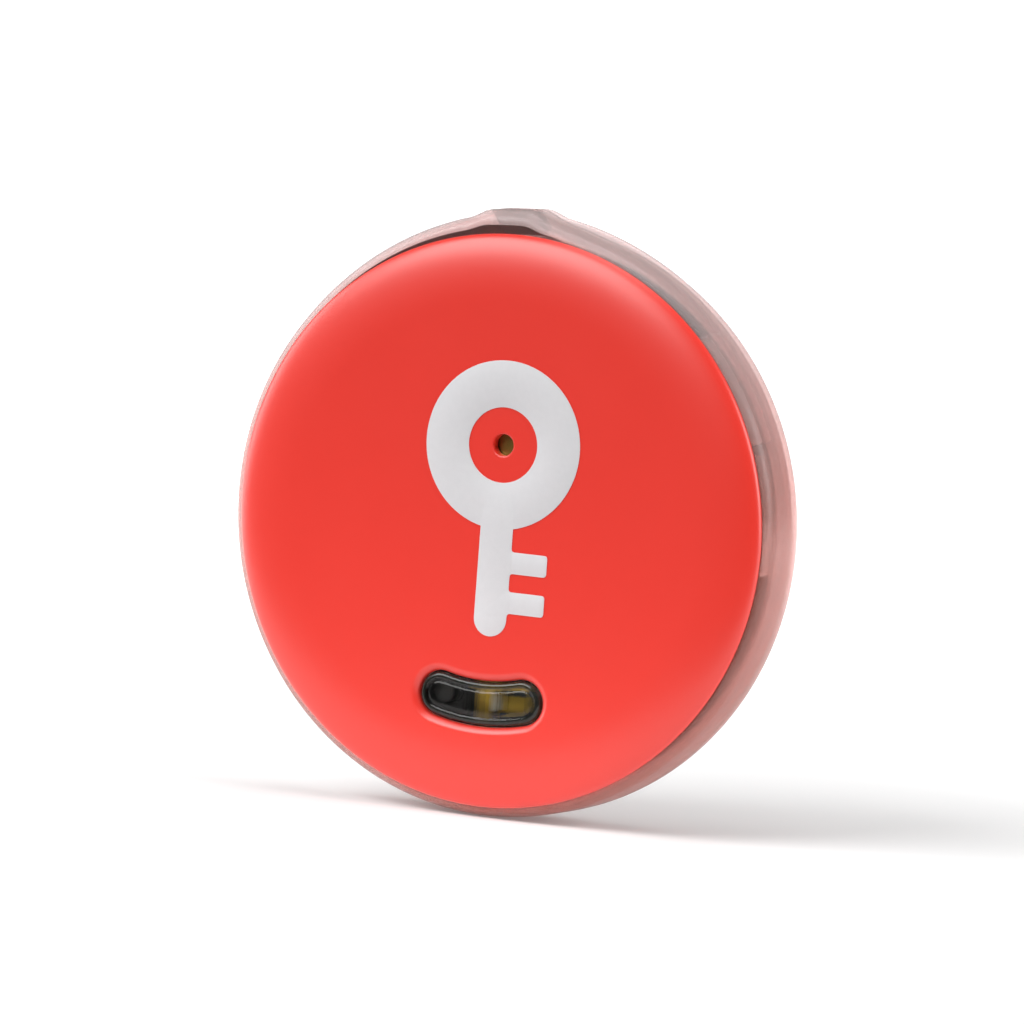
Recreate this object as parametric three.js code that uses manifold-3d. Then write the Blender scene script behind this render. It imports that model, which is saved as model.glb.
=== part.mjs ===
import * as THREE from 'three';
import { mergeVertices } from 'three/addons/utils/BufferGeometryUtils.js';
import Module from 'manifold-3d';

// A coin-sized radio tracker tag: a crowned cover on a frosted ring, a clear button, a sounder, a circuit
// board, and a coin cell under a back cover that pulls off. Sizes are in millimetres. The tag stands
// upright: its face looks towards -Y, its back towards +Y, and +Z is up. The origin is the middle of the
// flat back face, and the depth is the sum of the stack below, counted forwards from there.

const wasm = await Module();
wasm.setup();

// The stack from the back face to the front, and the room between its layers.
const backWall = 0.8;
const padDepth = 0.13;
const padRoom = 0.02;
const cellDepth = 1.6;
const cellFloorRoom = 0.1;
const floorDepth = 0.3;
const boardBackRoom = 0.65;
const boardDepth = 0.5;
const boardFrontRoom = 1.02;
const coverWall = 0.45;
const printDepth = 0.03;

const backInnerY = -backWall;
const cellBackY = backInnerY - padDepth - padRoom;
const cellFrontY = cellBackY - cellDepth;
const floorBackY = cellFrontY - cellFloorRoom;
const floorFrontY = floorBackY - floorDepth;
const boardBackY = floorFrontY - boardBackRoom;
const boardFrontY = boardBackY - boardDepth;
const coverInnerY = boardFrontY - boardFrontRoom;
const faceY = coverInnerY - coverWall;
const printFrontY = faceY - printDepth;

// Housing ring, with a lug at the top for the lanyard.
const bodyRadius = 13;
const ringWall = 1.7;
const lipWidth = 0.43;
const frontRoundWidth = 0.38;
const frontRoundDepth = 0.75;
const coverCrown = 0.72;
const seamRoom = 0.08;
const boreRadius = bodyRadius - ringWall;
const coverRadius = bodyRadius - lipWidth;
const coverRimY = faceY + coverCrown;

// The lug is turned a little to the left of the face's own upright. Its flat top steps down to shoulders
// that fade into the round: a long one at the left, a short one on the ring's right, and a longer one on
// the back cover's right, which leaves an edge to pry the cover off by.
const lugTurn = THREE.MathUtils.degToRad(3.6);
const lugReach = 0.62;
const lugSegments = 2;
const lugStep = 0.23;
const lugStepAngle = THREE.MathUtils.degToRad(3);
const leftFade = THREE.MathUtils.degToRad(45);
const ringRightFade = THREE.MathUtils.degToRad(14);
const pryFade = THREE.MathUtils.degToRad(33);
const fadePower = 1.5;
const swellFromBore = 0.6;

// The lanyard slot goes in through the lug's flat top and comes out low on the back, so that the cord goes
// round a bar and holds the ring and the back cover together.
const slotLength = 2.4;
const slotHeight = 0.5;
const slotTilt = THREE.MathUtils.degToRad(38);
const slotMouthSetback = 0.05;

// Back cover
const backCoverDepth = 2.5;
const backFlatRadius = 8.6;
const backRimDepth = 0.2;
const backSkirtDepth = 0.73;
const backSkirtWall = 0.42;
const skirtFit = 0.06;
const backCornerWidth = 0.62;
const backCornerDepth = 0.35;
const padRadius = 6;
const sealWidth = 0.42;
const sealDepth = 0.4;
const sealFit = 0.04;
const sealInset = 0.5;
const sealProud = 0.06;
const backFlangeY = -backCoverDepth;
const ringBackY = backFlangeY - seamRoom;
const backSkirtEndY = backFlangeY - backSkirtDepth;
const backSkirtOuter = boreRadius - skirtFit;
const backSkirtInner = backSkirtOuter - backSkirtWall;

// Front cover, printed symbol and sound hole
const coverFlatRadius = 9.75;
const coverEdgeLand = 0.04;
const coverSkirtWall = 0.4;
const coverSkirtFit = 0.05;
const soundHoleRadius = 0.47;
const soundHoleX = 0.25;
const soundHoleZ = 3.4;
const bowRadius = 3.7;
const bowHoleRadius = 1.65;
const shankHalfWidth = 0.78;
const shankEndZ = -5;
const toothCount = 2;
const toothLength = 1.75;
const toothWidth = 0.95;
const toothPitch = 1.75;
const toothSetback = 0.3;

// Clear button: a curved window on a circle about the middle of the face
const buttonArcRadius = 8;
const buttonWidth = 1.9;
const buttonHalfAngle = THREE.MathUtils.degToRad(14.2);
const buttonFit = 0.06;
const buttonSunk = 0.07;
const buttonRecess = 0.35;
const buttonRecessDepth = 0.18;
const buttonFlange = 0.35;
const buttonFlangeDepth = 0.2;
const buttonFlangeRoom = 0.02;
const buttonTravel = 0.2;

// Coin cell
const cellRadius = 10;
const canWall = 0.25;
const canCorner = 0.22;
const crimpWidth = 0.5;
const crimpRoom = 0.1;
const gasketWall = 0.14;
const cellPieceFit = 0.02;

// Inner frame, which holds the board in front and the cell behind
const cellFit = 0.12;
const frameFit = 0.08;
const boardFit = 0.05;
const boardRimWall = 0.27;
const boardRimDepth = 0.2;
const boardRest = 0.02;
const boardLedge = 0.85;
const floorWindowRadius = 8.6;
const frameSetback = 0.35;
const frameRearRoom = 0.07;
const frameShoulderRoom = 0.05;
const lugCount = 3;
const frameLugAngle = THREE.MathUtils.degToRad(7);
const frameLugHalfAngle = THREE.MathUtils.degToRad(12);
const frameLugDepth = 1;
const frameLugReach = 1.05;
const pocketFit = 0.06;
const carrierAngle = THREE.MathUtils.degToRad(33.5);
const carrierHalfAngle = THREE.MathUtils.degToRad(12);
const carrierFrontWall = 0.35;
const carrierSealWall = 0.15;
const frameFrontY = boardFrontY - boardRimDepth;
const frameOuter = boreRadius - frameFit;
const frameRearOuter = backSkirtInner - frameRearRoom;
const frameBackY = cellBackY - frameSetback;
const frameBore = cellRadius + cellFit;

// Circuit board and what stands on it
const boardRadius = frameOuter - boardRimWall - boardFit;
const boardNotchRadius = 0.7;
const piezoRadius = 6;
const piezoDepth = 0.15;
const ceramicRadius = 4.2;
const ceramicDepth = 0.13;
const adhesiveDepth = 0.08;
const adhesiveWidth = 1;
const springRadius = 0.32;
const switchWidth = 1.8;
const switchHeight = 1.5;
const switchDepth = 0.35;
const switchBoreRadius = 0.5;
const plungerRadius = 0.42;
const plungerRoom = 0.01;
const plungerFloorRoom = 0.06;
const padCopperDepth = 0.04;
const lampDepth = 0.25;
const trackRise = 0.75;
const capacitorLength = 1;
const capacitorWidth = 0.5;
const capacitorDepth = 0.4;
const memoryWidth = 3;
const memoryHeight = 2;
const memoryDepth = 0.5;
const memoryX = -3.5;
const memoryZ = 4;
const contactThickness = 0.12;
const negativeContactWidth = 1.8;
const negativeContactReach = 3.6;
const positiveContactWidth = 2;
const positiveContactStandoff = 0.4;
const positiveContactFoot = 1.2;
const positiveContactBulge = 0.3;
const contactTipLift = 0.18;
const contactTipRoom = 0.1;
const contactSlotRoom = 0.25;
const cellTouchRoom = 0.03;
const flangeFrontY = coverInnerY + buttonFlangeRoom;
const lensBackY = flangeFrontY + buttonFlangeDepth;

const ringSegments = 80;
const fineSegments = 48;
const smallSegments = 16;
const arcSteps = 3;

const material = (color, roughness, metalness = 0) => (
  new THREE.MeshStandardMaterial({ color, roughness, metalness })
);
const frosted = material(0xd9a8a0, 0.55);
const coral = material(0xf0493b, 0.55);
const printWhite = material(0xe1e1e0, 0.5);
const clearSmoke = material(0x141a16, 0.08);
const blackPlastic = material(0x241c1a, 0.6);
const brass = material(0xb08a35, 0.35, 1);
const gold = material(0xd0a040, 0.3, 1);
const steel = material(0xb9bcc0, 0.3, 1);
const solderMask = material(0x0c120e, 0.35);
const ceramicWhite = material(0xe6e2d6, 0.45);
const ceramicTan = material(0xa8845c, 0.5);
const rubber = material(0x2b2b2c, 0.8);
const foam = material(0x3a3a3c, 0.95);
const epoxy = material(0x17181a, 0.5);

const model = new THREE.Group();

function addPart(name, geometry, partMaterial) {
  const mesh = new THREE.Mesh(geometry, partMaterial);
  mesh.name = name;
  model.add(mesh);
}

// Keeps position only, joins shared vertices, and turns the faces outwards.
function closed(geometry) {
  const bare = geometry.clone();
  bare.deleteAttribute('normal');
  bare.deleteAttribute('uv');
  const merged = mergeVertices(bare, 1e-5);
  const index = Array.from(merged.index.array);
  const kept = [];
  for (let i = 0; i < index.length; i += 3) {
    const [a, b, c] = index.slice(i, i + 3);
    if (a !== b && b !== c && c !== a) kept.push(a, b, c);
  }
  merged.setIndex(kept);
  if (signedVolume(merged) < 0) {
    for (let i = 0; i < kept.length; i += 3) [kept[i], kept[i + 1]] = [kept[i + 1], kept[i]];
    merged.setIndex(kept);
  }
  return merged;
}

function signedVolume(geometry) {
  const position = geometry.attributes.position;
  const index = geometry.index.array;
  const a = new THREE.Vector3();
  const b = new THREE.Vector3();
  const c = new THREE.Vector3();
  let volume = 0;
  for (let i = 0; i < index.length; i += 3) {
    a.fromBufferAttribute(position, index[i]);
    b.fromBufferAttribute(position, index[i + 1]);
    c.fromBufferAttribute(position, index[i + 2]);
    volume += a.dot(b.cross(c)) / 6;
  }
  return volume;
}

function toSolid(geometry) {
  return new wasm.Manifold(new wasm.Mesh({
    numProp: 3,
    vertProperties: new Float32Array(geometry.attributes.position.array),
    triVerts: new Uint32Array(geometry.index.array),
  }));
}

function fromSolid(solid) {
  const mesh = solid.getMesh();
  const geometry = new THREE.BufferGeometry();
  geometry.setAttribute('position', new THREE.BufferAttribute(mesh.vertProperties, 3));
  geometry.setIndex(new THREE.BufferAttribute(mesh.triVerts, 1));
  return geometry;
}

function cut(geometry, ...tools) {
  return fromSolid(tools.reduce((solid, tool) => solid.subtract(toSolid(tool)), toSolid(geometry)));
}

function join(geometry, ...others) {
  return fromSolid(others.reduce((solid, other) => solid.add(toSolid(other)), toSolid(geometry)));
}

// A body turned about the Y axis from [radius, y] points that start and end on the axis.
function turned(points, segments, start = 0) {
  const profile = points.map(([radius, y]) => new THREE.Vector2(radius, y));
  return closed(new THREE.LatheGeometry(profile, segments, start));
}

// A hollow body turned about the Y axis, whose profile closes on itself.
function turnedRing(points, segments, start = 0) {
  return turned([...points, points[0]], segments, start);
}

// A quarter of an ellipse from [r0, y0], where it runs along r, to [r1, y1], where it runs along y.
function quarterRound([r0, y0], [r1, y1], steps = arcSteps) {
  const points = [];
  for (let i = 0; i <= steps; i += 1) {
    const angle = (i / steps) * Math.PI / 2;
    points.push([r0 + (r1 - r0) * Math.sin(angle), y1 + (y0 - y1) * Math.cos(angle)]);
  }
  return points;
}

// An outline in X and Z given a thickness between two y values.
function plate(shape, frontY, backY, curveSegments = 8) {
  const depth = backY - frontY;
  const geometry = new THREE.ExtrudeGeometry(shape, { depth, bevelEnabled: false, curveSegments });
  geometry.rotateX(Math.PI / 2);
  geometry.translate(0, backY, 0);
  return closed(geometry);
}

function disc(radius, frontY, backY, x = 0, z = 0, segments = smallSegments) {
  const geometry = new THREE.CylinderGeometry(radius, radius, backY - frontY, segments);
  geometry.translate(x, (frontY + backY) / 2, z);
  return closed(geometry);
}

// A block on the front of the board, given by its middle, its sides and how far it stands up.
function boardBlock(x, z, width, height, standing, turn = 0) {
  const geometry = new THREE.BoxGeometry(width, standing, height);
  geometry.rotateY(-turn);
  geometry.translate(x, boardFrontY - standing / 2, z);
  return closed(geometry);
}

// A block that fills part of a ring, between two radii, two y values and an angle each way.
function ringBlock(inner, outer, frontY, backY, middle, halfAngle) {
  const shape = new THREE.Shape();
  shape.absarc(0, 0, outer, middle - halfAngle, middle + halfAngle, false);
  shape.absarc(0, 0, inner, middle + halfAngle, middle - halfAngle, true);
  return plate(shape, frontY, backY, 5);
}

// How far the outline stands out of its circle at an angle from the lug's middle, positive to the left.
const lugHalfAngle = lugSegments * Math.PI / ringSegments;

function outlineRise(angle, rightFade) {
  const away = Math.abs(angle);
  if (away <= lugHalfAngle + 1e-9) return (bodyRadius + lugReach) / Math.cos(away) - bodyRadius;
  const corner = (bodyRadius + lugReach) / Math.cos(lugHalfAngle) - bodyRadius;
  const past = away - lugHalfAngle;
  const onShoulder = Math.max(1 - past / (angle > 0 ? leftFade : rightFade), 0);
  const onStep = Math.max(1 - past / lugStepAngle, 0);
  return (corner - lugStep) * onShoulder ** fadePower + lugStep * onStep;
}

// Pushes a turned body's outer wall out into the lug. The bore is left round.
function withLug(geometry, rightFade) {
  const position = geometry.attributes.position;
  const inner = boreRadius + swellFromBore;
  for (let i = 0; i < position.count; i += 1) {
    const x = position.getX(i);
    const z = position.getZ(i);
    const radius = Math.hypot(x, z);
    const share = (radius - inner) / (bodyRadius - inner);
    if (share <= 0) continue;
    const fromLug = Math.atan2(z, x) - Math.PI / 2 - lugTurn;
    const angle = Math.atan2(Math.sin(fromLug), Math.cos(fromLug));
    const grown = radius + outlineRise(angle, rightFade) * share;
    position.setX(i, x * grown / radius);
    position.setZ(i, z * grown / radius);
  }
  return geometry;
}

// Angle at which a turned body starts, so that two of its edges run up the corners of the lug.
const lugStart = -lugTurn + lugHalfAngle;

// A long hole with round ends, tilted down towards the back from the middle of its mouth in the lug's top.
function lanyardSlot() {
  const half = (slotLength - slotHeight) / 2;
  const shape = new THREE.Shape();
  shape.absarc(half, 0, slotHeight / 2, -Math.PI / 2, Math.PI / 2, false);
  shape.absarc(-half, 0, slotHeight / 2, Math.PI / 2, Math.PI * 1.5, false);
  const mouthHalf = slotHeight / 2 / Math.sin(slotTilt);
  const mouthY = coverRimY + frontRoundDepth + slotMouthSetback + mouthHalf;
  const slot = plate(shape, -bodyRadius, bodyRadius, 6);
  slot.rotateX(-slotTilt);
  slot.translate(0, mouthY, bodyRadius + lugReach);
  slot.rotateY(-lugTurn);
  return slot;
}

// The button's outline, grown evenly outwards.
function buttonShape(grow) {
  const half = buttonWidth / 2 + grow;
  const down = -Math.PI / 2;
  const left = down - buttonHalfAngle;
  const right = down + buttonHalfAngle;
  const endX = buttonArcRadius * Math.sin(buttonHalfAngle);
  const endZ = -buttonArcRadius * Math.cos(buttonHalfAngle);
  const shape = new THREE.Shape();
  shape.absarc(0, 0, buttonArcRadius + half, left, right, false);
  shape.absarc(endX, endZ, half, right, right + Math.PI, false);
  shape.absarc(0, 0, buttonArcRadius - half, right, left, true);
  shape.absarc(-endX, endZ, half, left + Math.PI, left + 2 * Math.PI, false);
  return shape;
}

function frameLugAngles() {
  return Array.from({ length: lugCount }, (_, i) => frameLugAngle + i * 2 * Math.PI / lugCount);
}

function housingRing() {
  const profile = [
    [boreRadius, coverRimY],
    ...quarterRound([bodyRadius - frontRoundWidth, coverRimY], [bodyRadius, coverRimY + frontRoundDepth]),
    [bodyRadius, ringBackY],
    [sealOuter() + sealFit, ringBackY],
    [sealOuter() + sealFit, sealFrontY() - sealFit],
    [sealInner() - sealFit, sealFrontY() - sealFit],
    [sealInner() - sealFit, ringBackY],
    [boreRadius, ringBackY],
  ];
  const ring = withLug(turnedRing(profile, ringSegments, lugStart), ringRightFade);
  const pocket = (frontY, backY, angle, halfAngle) => ringBlock(
    boreRadius - ringWall / 2,
    boreRadius + frameLugReach + pocketFit,
    frontY - pocketFit,
    backY + pocketFit,
    angle,
    halfAngle + pocketFit / boreRadius,
  );
  const lugPockets = frameLugAngles().map((angle) => (
    pocket(frameFrontY, frameFrontY + frameLugDepth, angle, frameLugHalfAngle)
  ));
  const carrierPocket = pocket(carrierFrontY(), carrierBackY(), carrierAngle, carrierHalfAngle);
  return cut(ring, lanyardSlot(), carrierPocket, ...lugPockets);
}

function carrierFrontY() {
  return coverRimY + carrierFrontWall;
}

function carrierBackY() {
  return sealFrontY() - carrierSealWall;
}

// A white moulding in a pocket of the ring, beside the antenna.
function antennaCarrier() {
  const outer = boreRadius + frameLugReach;
  return ringBlock(boreRadius, outer, carrierFrontY(), carrierBackY(), carrierAngle, carrierHalfAngle);
}

function sealInner() {
  return boreRadius + sealInset;
}

function sealOuter() {
  return sealInner() + sealWidth;
}

function sealFrontY() {
  return ringBackY + sealProud - sealDepth;
}

function backSeal() {
  return turnedRing([
    [sealInner(), sealFrontY()],
    [sealOuter(), sealFrontY()],
    [sealOuter(), sealFrontY() + sealDepth],
    [sealInner(), sealFrontY() + sealDepth],
  ], fineSegments);
}

function frontCover() {
  const skirtOuter = boreRadius - coverSkirtFit;
  const skirtInner = skirtOuter - coverSkirtWall;
  const skirtEndY = frameFrontY - coverSkirtFit;
  const profile = [
    [0, faceY],
    ...quarterRound([coverFlatRadius, faceY], [coverRadius, coverRimY - coverEdgeLand], 4),
    [coverRadius, coverRimY],
    [skirtOuter, coverRimY],
    [skirtOuter, skirtEndY],
    [skirtInner, skirtEndY],
    [skirtInner, coverInnerY],
    [0, coverInnerY],
  ];
  const through = 1;
  return cut(
    turned(profile, ringSegments),
    disc(soundHoleRadius, faceY - through, coverInnerY + through, soundHoleX, soundHoleZ),
    plate(buttonShape(buttonFit), faceY - through, coverInnerY + through),
    plate(buttonShape(buttonRecess), faceY - through, faceY + buttonRecessDepth),
  );
}

// A plain house key: its ring goes round the sound hole, and its bit has two teeth.
function frontSymbol() {
  const neckAngle = Math.asin(shankHalfWidth / bowRadius);
  const left = soundHoleX - shankHalfWidth;
  const right = soundHoleX + shankHalfWidth;
  const tipZ = shankEndZ + shankHalfWidth;
  const shape = new THREE.Shape();
  shape.absarc(soundHoleX, soundHoleZ, bowRadius, neckAngle - Math.PI / 2, Math.PI * 1.5 - neckAngle, false);
  shape.lineTo(left, tipZ);
  shape.absarc(soundHoleX, tipZ, shankHalfWidth, Math.PI, 2 * Math.PI, false);
  for (let i = 0; i < toothCount; i += 1) {
    const bottom = tipZ + toothSetback + i * toothPitch;
    shape.lineTo(right, bottom);
    shape.lineTo(right + toothLength, bottom);
    shape.lineTo(right + toothLength, bottom + toothWidth);
    shape.lineTo(right, bottom + toothWidth);
  }
  const hole = new THREE.Path();
  hole.absarc(soundHoleX, soundHoleZ, bowHoleRadius, 0, 2 * Math.PI, true);
  shape.holes.push(hole);
  return plate(shape, printFrontY, faceY, 16);
}

function buttonLens() {
  return join(
    plate(buttonShape(0), faceY + buttonSunk, lensBackY),
    plate(buttonShape(buttonFlange), flangeFrontY, lensBackY),
  );
}

function piezoAdhesive() {
  const shape = new THREE.Shape();
  shape.absarc(soundHoleX, soundHoleZ, piezoRadius, 0, 2 * Math.PI, false);
  const hole = new THREE.Path();
  hole.absarc(soundHoleX, soundHoleZ, piezoRadius - adhesiveWidth, 0, 2 * Math.PI, true);
  shape.holes.push(hole);
  return plate(shape, coverInnerY, coverInnerY + adhesiveDepth, 12);
}

const piezoFrontY = coverInnerY + adhesiveDepth;
const piezoBackY = piezoFrontY + piezoDepth;
const ceramicBackY = piezoBackY + ceramicDepth;

function sounderDisc(radius, frontY, backY) {
  return disc(radius, frontY, backY, soundHoleX, soundHoleZ, fineSegments);
}

function circuitBoard() {
  const notches = [Math.PI * 5 / 6, Math.PI * 11 / 6].map((angle) => disc(
    boardNotchRadius,
    boardFrontY - 1,
    boardBackY + 1,
    boardRadius * Math.cos(angle),
    boardRadius * Math.sin(angle),
  ));
  return cut(disc(boardRadius, boardFrontY, boardBackY, 0, 0, fineSegments), ...notches);
}

function innerFrame() {
  const boardBore = boardRadius + boardFit;
  const shoulderY = backSkirtEndY - frameShoulderRoom;
  const body = turnedRing([
    [boardBore, frameFrontY],
    [frameOuter, frameFrontY],
    [frameOuter, shoulderY],
    [frameRearOuter, shoulderY],
    [frameRearOuter, frameBackY],
    [frameBore, frameBackY],
    [frameBore, floorBackY],
    [floorWindowRadius, floorBackY],
    [floorWindowRadius, floorFrontY],
    [boardBore - boardLedge, floorFrontY],
    [boardBore - boardLedge, boardBackY + boardRest],
    [boardBore, boardBackY + boardRest],
  ], fineSegments);
  const lugs = frameLugAngles().map((angle) => ringBlock(
    frameOuter - boardRimWall / 2,
    boreRadius + frameLugReach,
    frameFrontY,
    frameFrontY + frameLugDepth,
    angle,
    frameLugHalfAngle,
  ));
  const slotHalf = positiveContactWidth / 2 + contactSlotRoom;
  const slotOuter = frameBore + positiveContactStandoff + contactThickness + contactSlotRoom;
  const contactSlot = new THREE.BoxGeometry(slotOuter, frameBackY + 1 - boardBackY, 2 * slotHalf);
  contactSlot.translate(-slotOuter / 2, (frameBackY + 1 + boardBackY) / 2 + boardRest, 0);
  return cut(join(body, ...lugs), closed(contactSlot));
}

// A bent strip of spring metal: a centre line in a plane, given a thickness and a width.
function bentStrip(line, thickness, width) {
  const points = line.map(([u, v]) => new THREE.Vector2(u, v));
  const sides = points.map((point, i) => {
    const before = points[Math.max(i - 1, 0)];
    const after = points[Math.min(i + 1, points.length - 1)];
    const along = after.clone().sub(before).normalize();
    return new THREE.Vector2(-along.y, along.x).multiplyScalar(thickness / 2);
  });
  const left = points.map((point, i) => point.clone().add(sides[i]));
  const right = points.map((point, i) => point.clone().sub(sides[i])).reverse();
  const shape = new THREE.Shape([...left, ...right]);
  const geometry = new THREE.ExtrudeGeometry(shape, { depth: width, bevelEnabled: false });
  geometry.translate(0, 0, -width / 2);
  return closed(geometry);
}

// Soldered to the back of the board in the middle, and sprung against the cell's cap.
function contactNegative() {
  const half = contactThickness / 2;
  const solderedY = boardBackY + half;
  const touchY = cellFrontY - cellTouchRoom - half;
  return bentStrip([
    [-negativeContactReach / 2, solderedY],
    [0, solderedY],
    [negativeContactReach * 0.25, solderedY + (touchY - solderedY) * 0.3],
    [negativeContactReach * 0.6, touchY],
    [negativeContactReach * 0.75, touchY],
    [negativeContactReach * 0.9, touchY - contactTipLift],
  ], contactThickness, negativeContactWidth);
}

// Soldered to the back of the board at the left, and sprung against the side of the cell's can.
function contactPositive() {
  const half = contactThickness / 2;
  const solderedY = boardBackY + half;
  const legX = -(frameBore + positiveContactStandoff - half);
  const touchX = -(cellRadius + cellTouchRoom + half);
  const middleY = (cellFrontY + cellBackY) / 2;
  return bentStrip([
    [legX + positiveContactFoot, solderedY],
    [legX, solderedY],
    [legX, cellFrontY],
    [touchX, middleY - positiveContactBulge / 2],
    [touchX, middleY + positiveContactBulge / 2],
    [legX + contactTipRoom, frameBackY - contactTipRoom],
  ], contactThickness, positiveContactWidth);
}

function cellCan() {
  const crimpInner = cellRadius - crimpWidth;
  const canFrontY = cellFrontY + crimpRoom;
  const inner = cellRadius - canWall;
  return turned([
    [0, cellBackY],
    ...quarterRound([cellRadius - canCorner, cellBackY], [cellRadius, cellBackY - canCorner], 2),
    ...quarterRound([cellRadius - canCorner, canFrontY], [cellRadius, canFrontY + canCorner], 2).reverse(),
    [crimpInner, canFrontY],
    [crimpInner, canFrontY + canWall],
    [inner, canFrontY + canWall],
    [inner, cellBackY - canWall],
    [0, cellBackY - canWall],
  ], fineSegments);
}

const capRadius = cellRadius - crimpWidth - gasketWall - cellPieceFit;

function cellCap() {
  const capBackY = cellBackY - canWall - gasketWall - cellPieceFit;
  return turned([
    [0, cellFrontY],
    ...quarterRound([capRadius - canCorner, cellFrontY], [capRadius, cellFrontY + canCorner], 2),
    [capRadius, capBackY - gasketWall],
    [0, capBackY - gasketWall],
  ], fineSegments);
}

function cellGasket() {
  const outer = cellRadius - canWall - cellPieceFit;
  const lip = cellRadius - crimpWidth - cellPieceFit;
  const frontY = cellFrontY + crimpRoom;
  const underCrimpY = frontY + canWall + cellPieceFit;
  const backY = cellBackY - canWall - cellPieceFit;
  return turnedRing([
    [capRadius + cellPieceFit, frontY],
    [lip, frontY],
    [lip, underCrimpY],
    [outer, underCrimpY],
    [outer, backY],
    [capRadius + cellPieceFit, backY],
  ], fineSegments);
}

function backCover() {
  const rimY = -backCoverDepth + backRimDepth;
  const profile = [
    [0, 0],
    ...quarterRound([backFlatRadius, 0], [bodyRadius, rimY], 5),
    [bodyRadius, backFlangeY],
    [backSkirtOuter, backFlangeY],
    [backSkirtOuter, backSkirtEndY],
    [backSkirtInner, backSkirtEndY],
    [backSkirtInner, backInnerY - backCornerDepth],
    [backSkirtInner - backCornerWidth, backInnerY],
    [0, backInnerY],
  ];
  return cut(withLug(turned(profile, ringSegments, lugStart), pryFade), lanyardSlot());
}

addPart('housing_ring', housingRing(), frosted);
addPart('back_seal', backSeal(), rubber);
addPart('antenna_carrier', antennaCarrier(), ceramicWhite);
addPart('front_cover', frontCover(), coral);
addPart('front_symbol', frontSymbol(), printWhite);
addPart('button_lens', buttonLens(), clearSmoke);

// Sounder: a brass plate with a ceramic disc, stuck behind the sound hole and fed by two springs.
addPart('piezo_adhesive', piezoAdhesive(), foam);
addPart('piezo_plate', sounderDisc(piezoRadius, piezoFrontY, piezoBackY), brass);
addPart('piezo_ceramic', sounderDisc(ceramicRadius, piezoBackY, ceramicBackY), ceramicWhite);
const plateSpringX = soundHoleX + (piezoRadius + ceramicRadius) / 2;
const ceramicSpringX = soundHoleX + ceramicRadius / 2;
addPart('plate_spring', disc(springRadius, piezoBackY, boardFrontY, plateSpringX, soundHoleZ), gold);
addPart('ceramic_spring', disc(springRadius, ceramicBackY, boardFrontY, ceramicSpringX, soundHoleZ), gold);

addPart('circuit_board', circuitBoard(), solderMask);
addPart('inner_frame', innerFrame(), blackPlastic);

// Under the button: the switch at the left, and gold pads and a small lamp in the middle and at the right.
const switchX = -1.95;
const switchZ = -Math.sqrt(buttonArcRadius ** 2 - switchX ** 2);
const switchFrontY = boardFrontY - switchDepth;
addPart('switch_body', cut(
  boardBlock(switchX, switchZ, switchWidth, switchHeight, switchDepth),
  disc(switchBoreRadius, switchFrontY - 1, boardFrontY + 1, switchX, switchZ),
), epoxy);
const plungerBackY = boardFrontY - buttonTravel - plungerFloorRoom;
addPart('switch_plunger', disc(plungerRadius, lensBackY + plungerRoom, plungerBackY, switchX, switchZ), epoxy);
const padZ = -buttonArcRadius;
const trackZ = padZ + trackRise;
addPart('gold_pad_left', join(
  boardBlock(-0.28, padZ, 0.72, buttonWidth, padCopperDepth),
  boardBlock(0.35, trackZ, 2.7, 0.33, padCopperDepth),
), gold);
addPart('gold_pad_right', boardBlock(1.12, padZ, 1.25, 0.7, padCopperDepth), gold);
addPart('indicator_lamp', boardBlock(0.28, padZ, 0.31, 0.66, lampDepth), ceramicWhite);

// The rest of the front of the board: [name, x, z, width, height, how far it stands, turn, material].
const frontBlocks = [
  ['radio_chip', -5.6, -4.6, 3, 3, 0.55, 0.3, epoxy],
  ['main_crystal', -8.1, -0.9, 2, 1.6, 0.5, 0.1, steel],
  ['clock_crystal', -8.3, 2.2, 1.2, 2, 0.5, -0.2, steel],
  ['chip_antenna', 8.3, 0.4, 1.5, 3.2, 0.6, -0.05, ceramicWhite],
  ['power_inductor', 5.6, -4.4, 2, 2, 0.7, 0.5, epoxy],
];
for (const [name, x, z, width, height, standing, turn, blockMaterial] of frontBlocks) {
  addPart(name, boardBlock(x, z, width, height, standing, turn), blockMaterial);
}

// The capacitors: [x, z, turn].
const capacitorPlaces = [
  [-2.9, -4.6, 0], [-3.1, -6.4, 0.3], [2.6, -4.6, 0],
  [7.7, -2.4, 0.4], [-7.7, -3.3, 0.9], [7.3, 3.4, 0.4],
];
capacitorPlaces.forEach(([x, z, turn], i) => {
  const block = boardBlock(x, z, capacitorLength, capacitorWidth, capacitorDepth, turn);
  addPart(`capacitor_${i + 1}`, block, ceramicTan);
});

// On the back of the board: the memory chip and the two cell contacts.
const memoryChip = new THREE.BoxGeometry(memoryWidth, memoryDepth, memoryHeight);
memoryChip.translate(memoryX, boardBackY + memoryDepth / 2, memoryZ);
addPart('memory_chip', closed(memoryChip), epoxy);
addPart('contact_negative', contactNegative(), steel);
addPart('contact_positive', contactPositive(), steel);

addPart('cell_can', cellCan(), steel);
addPart('cell_gasket', cellGasket(), rubber);
addPart('cell_cap', cellCap(), steel);

addPart('back_cover', backCover(), frosted);
addPart('cell_pad', disc(padRadius, backInnerY - padDepth, backInnerY, 0, 0, 36), foam);

export default model;
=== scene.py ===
import math

import bmesh
import bpy
from mathutils import Matrix, Vector


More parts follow.
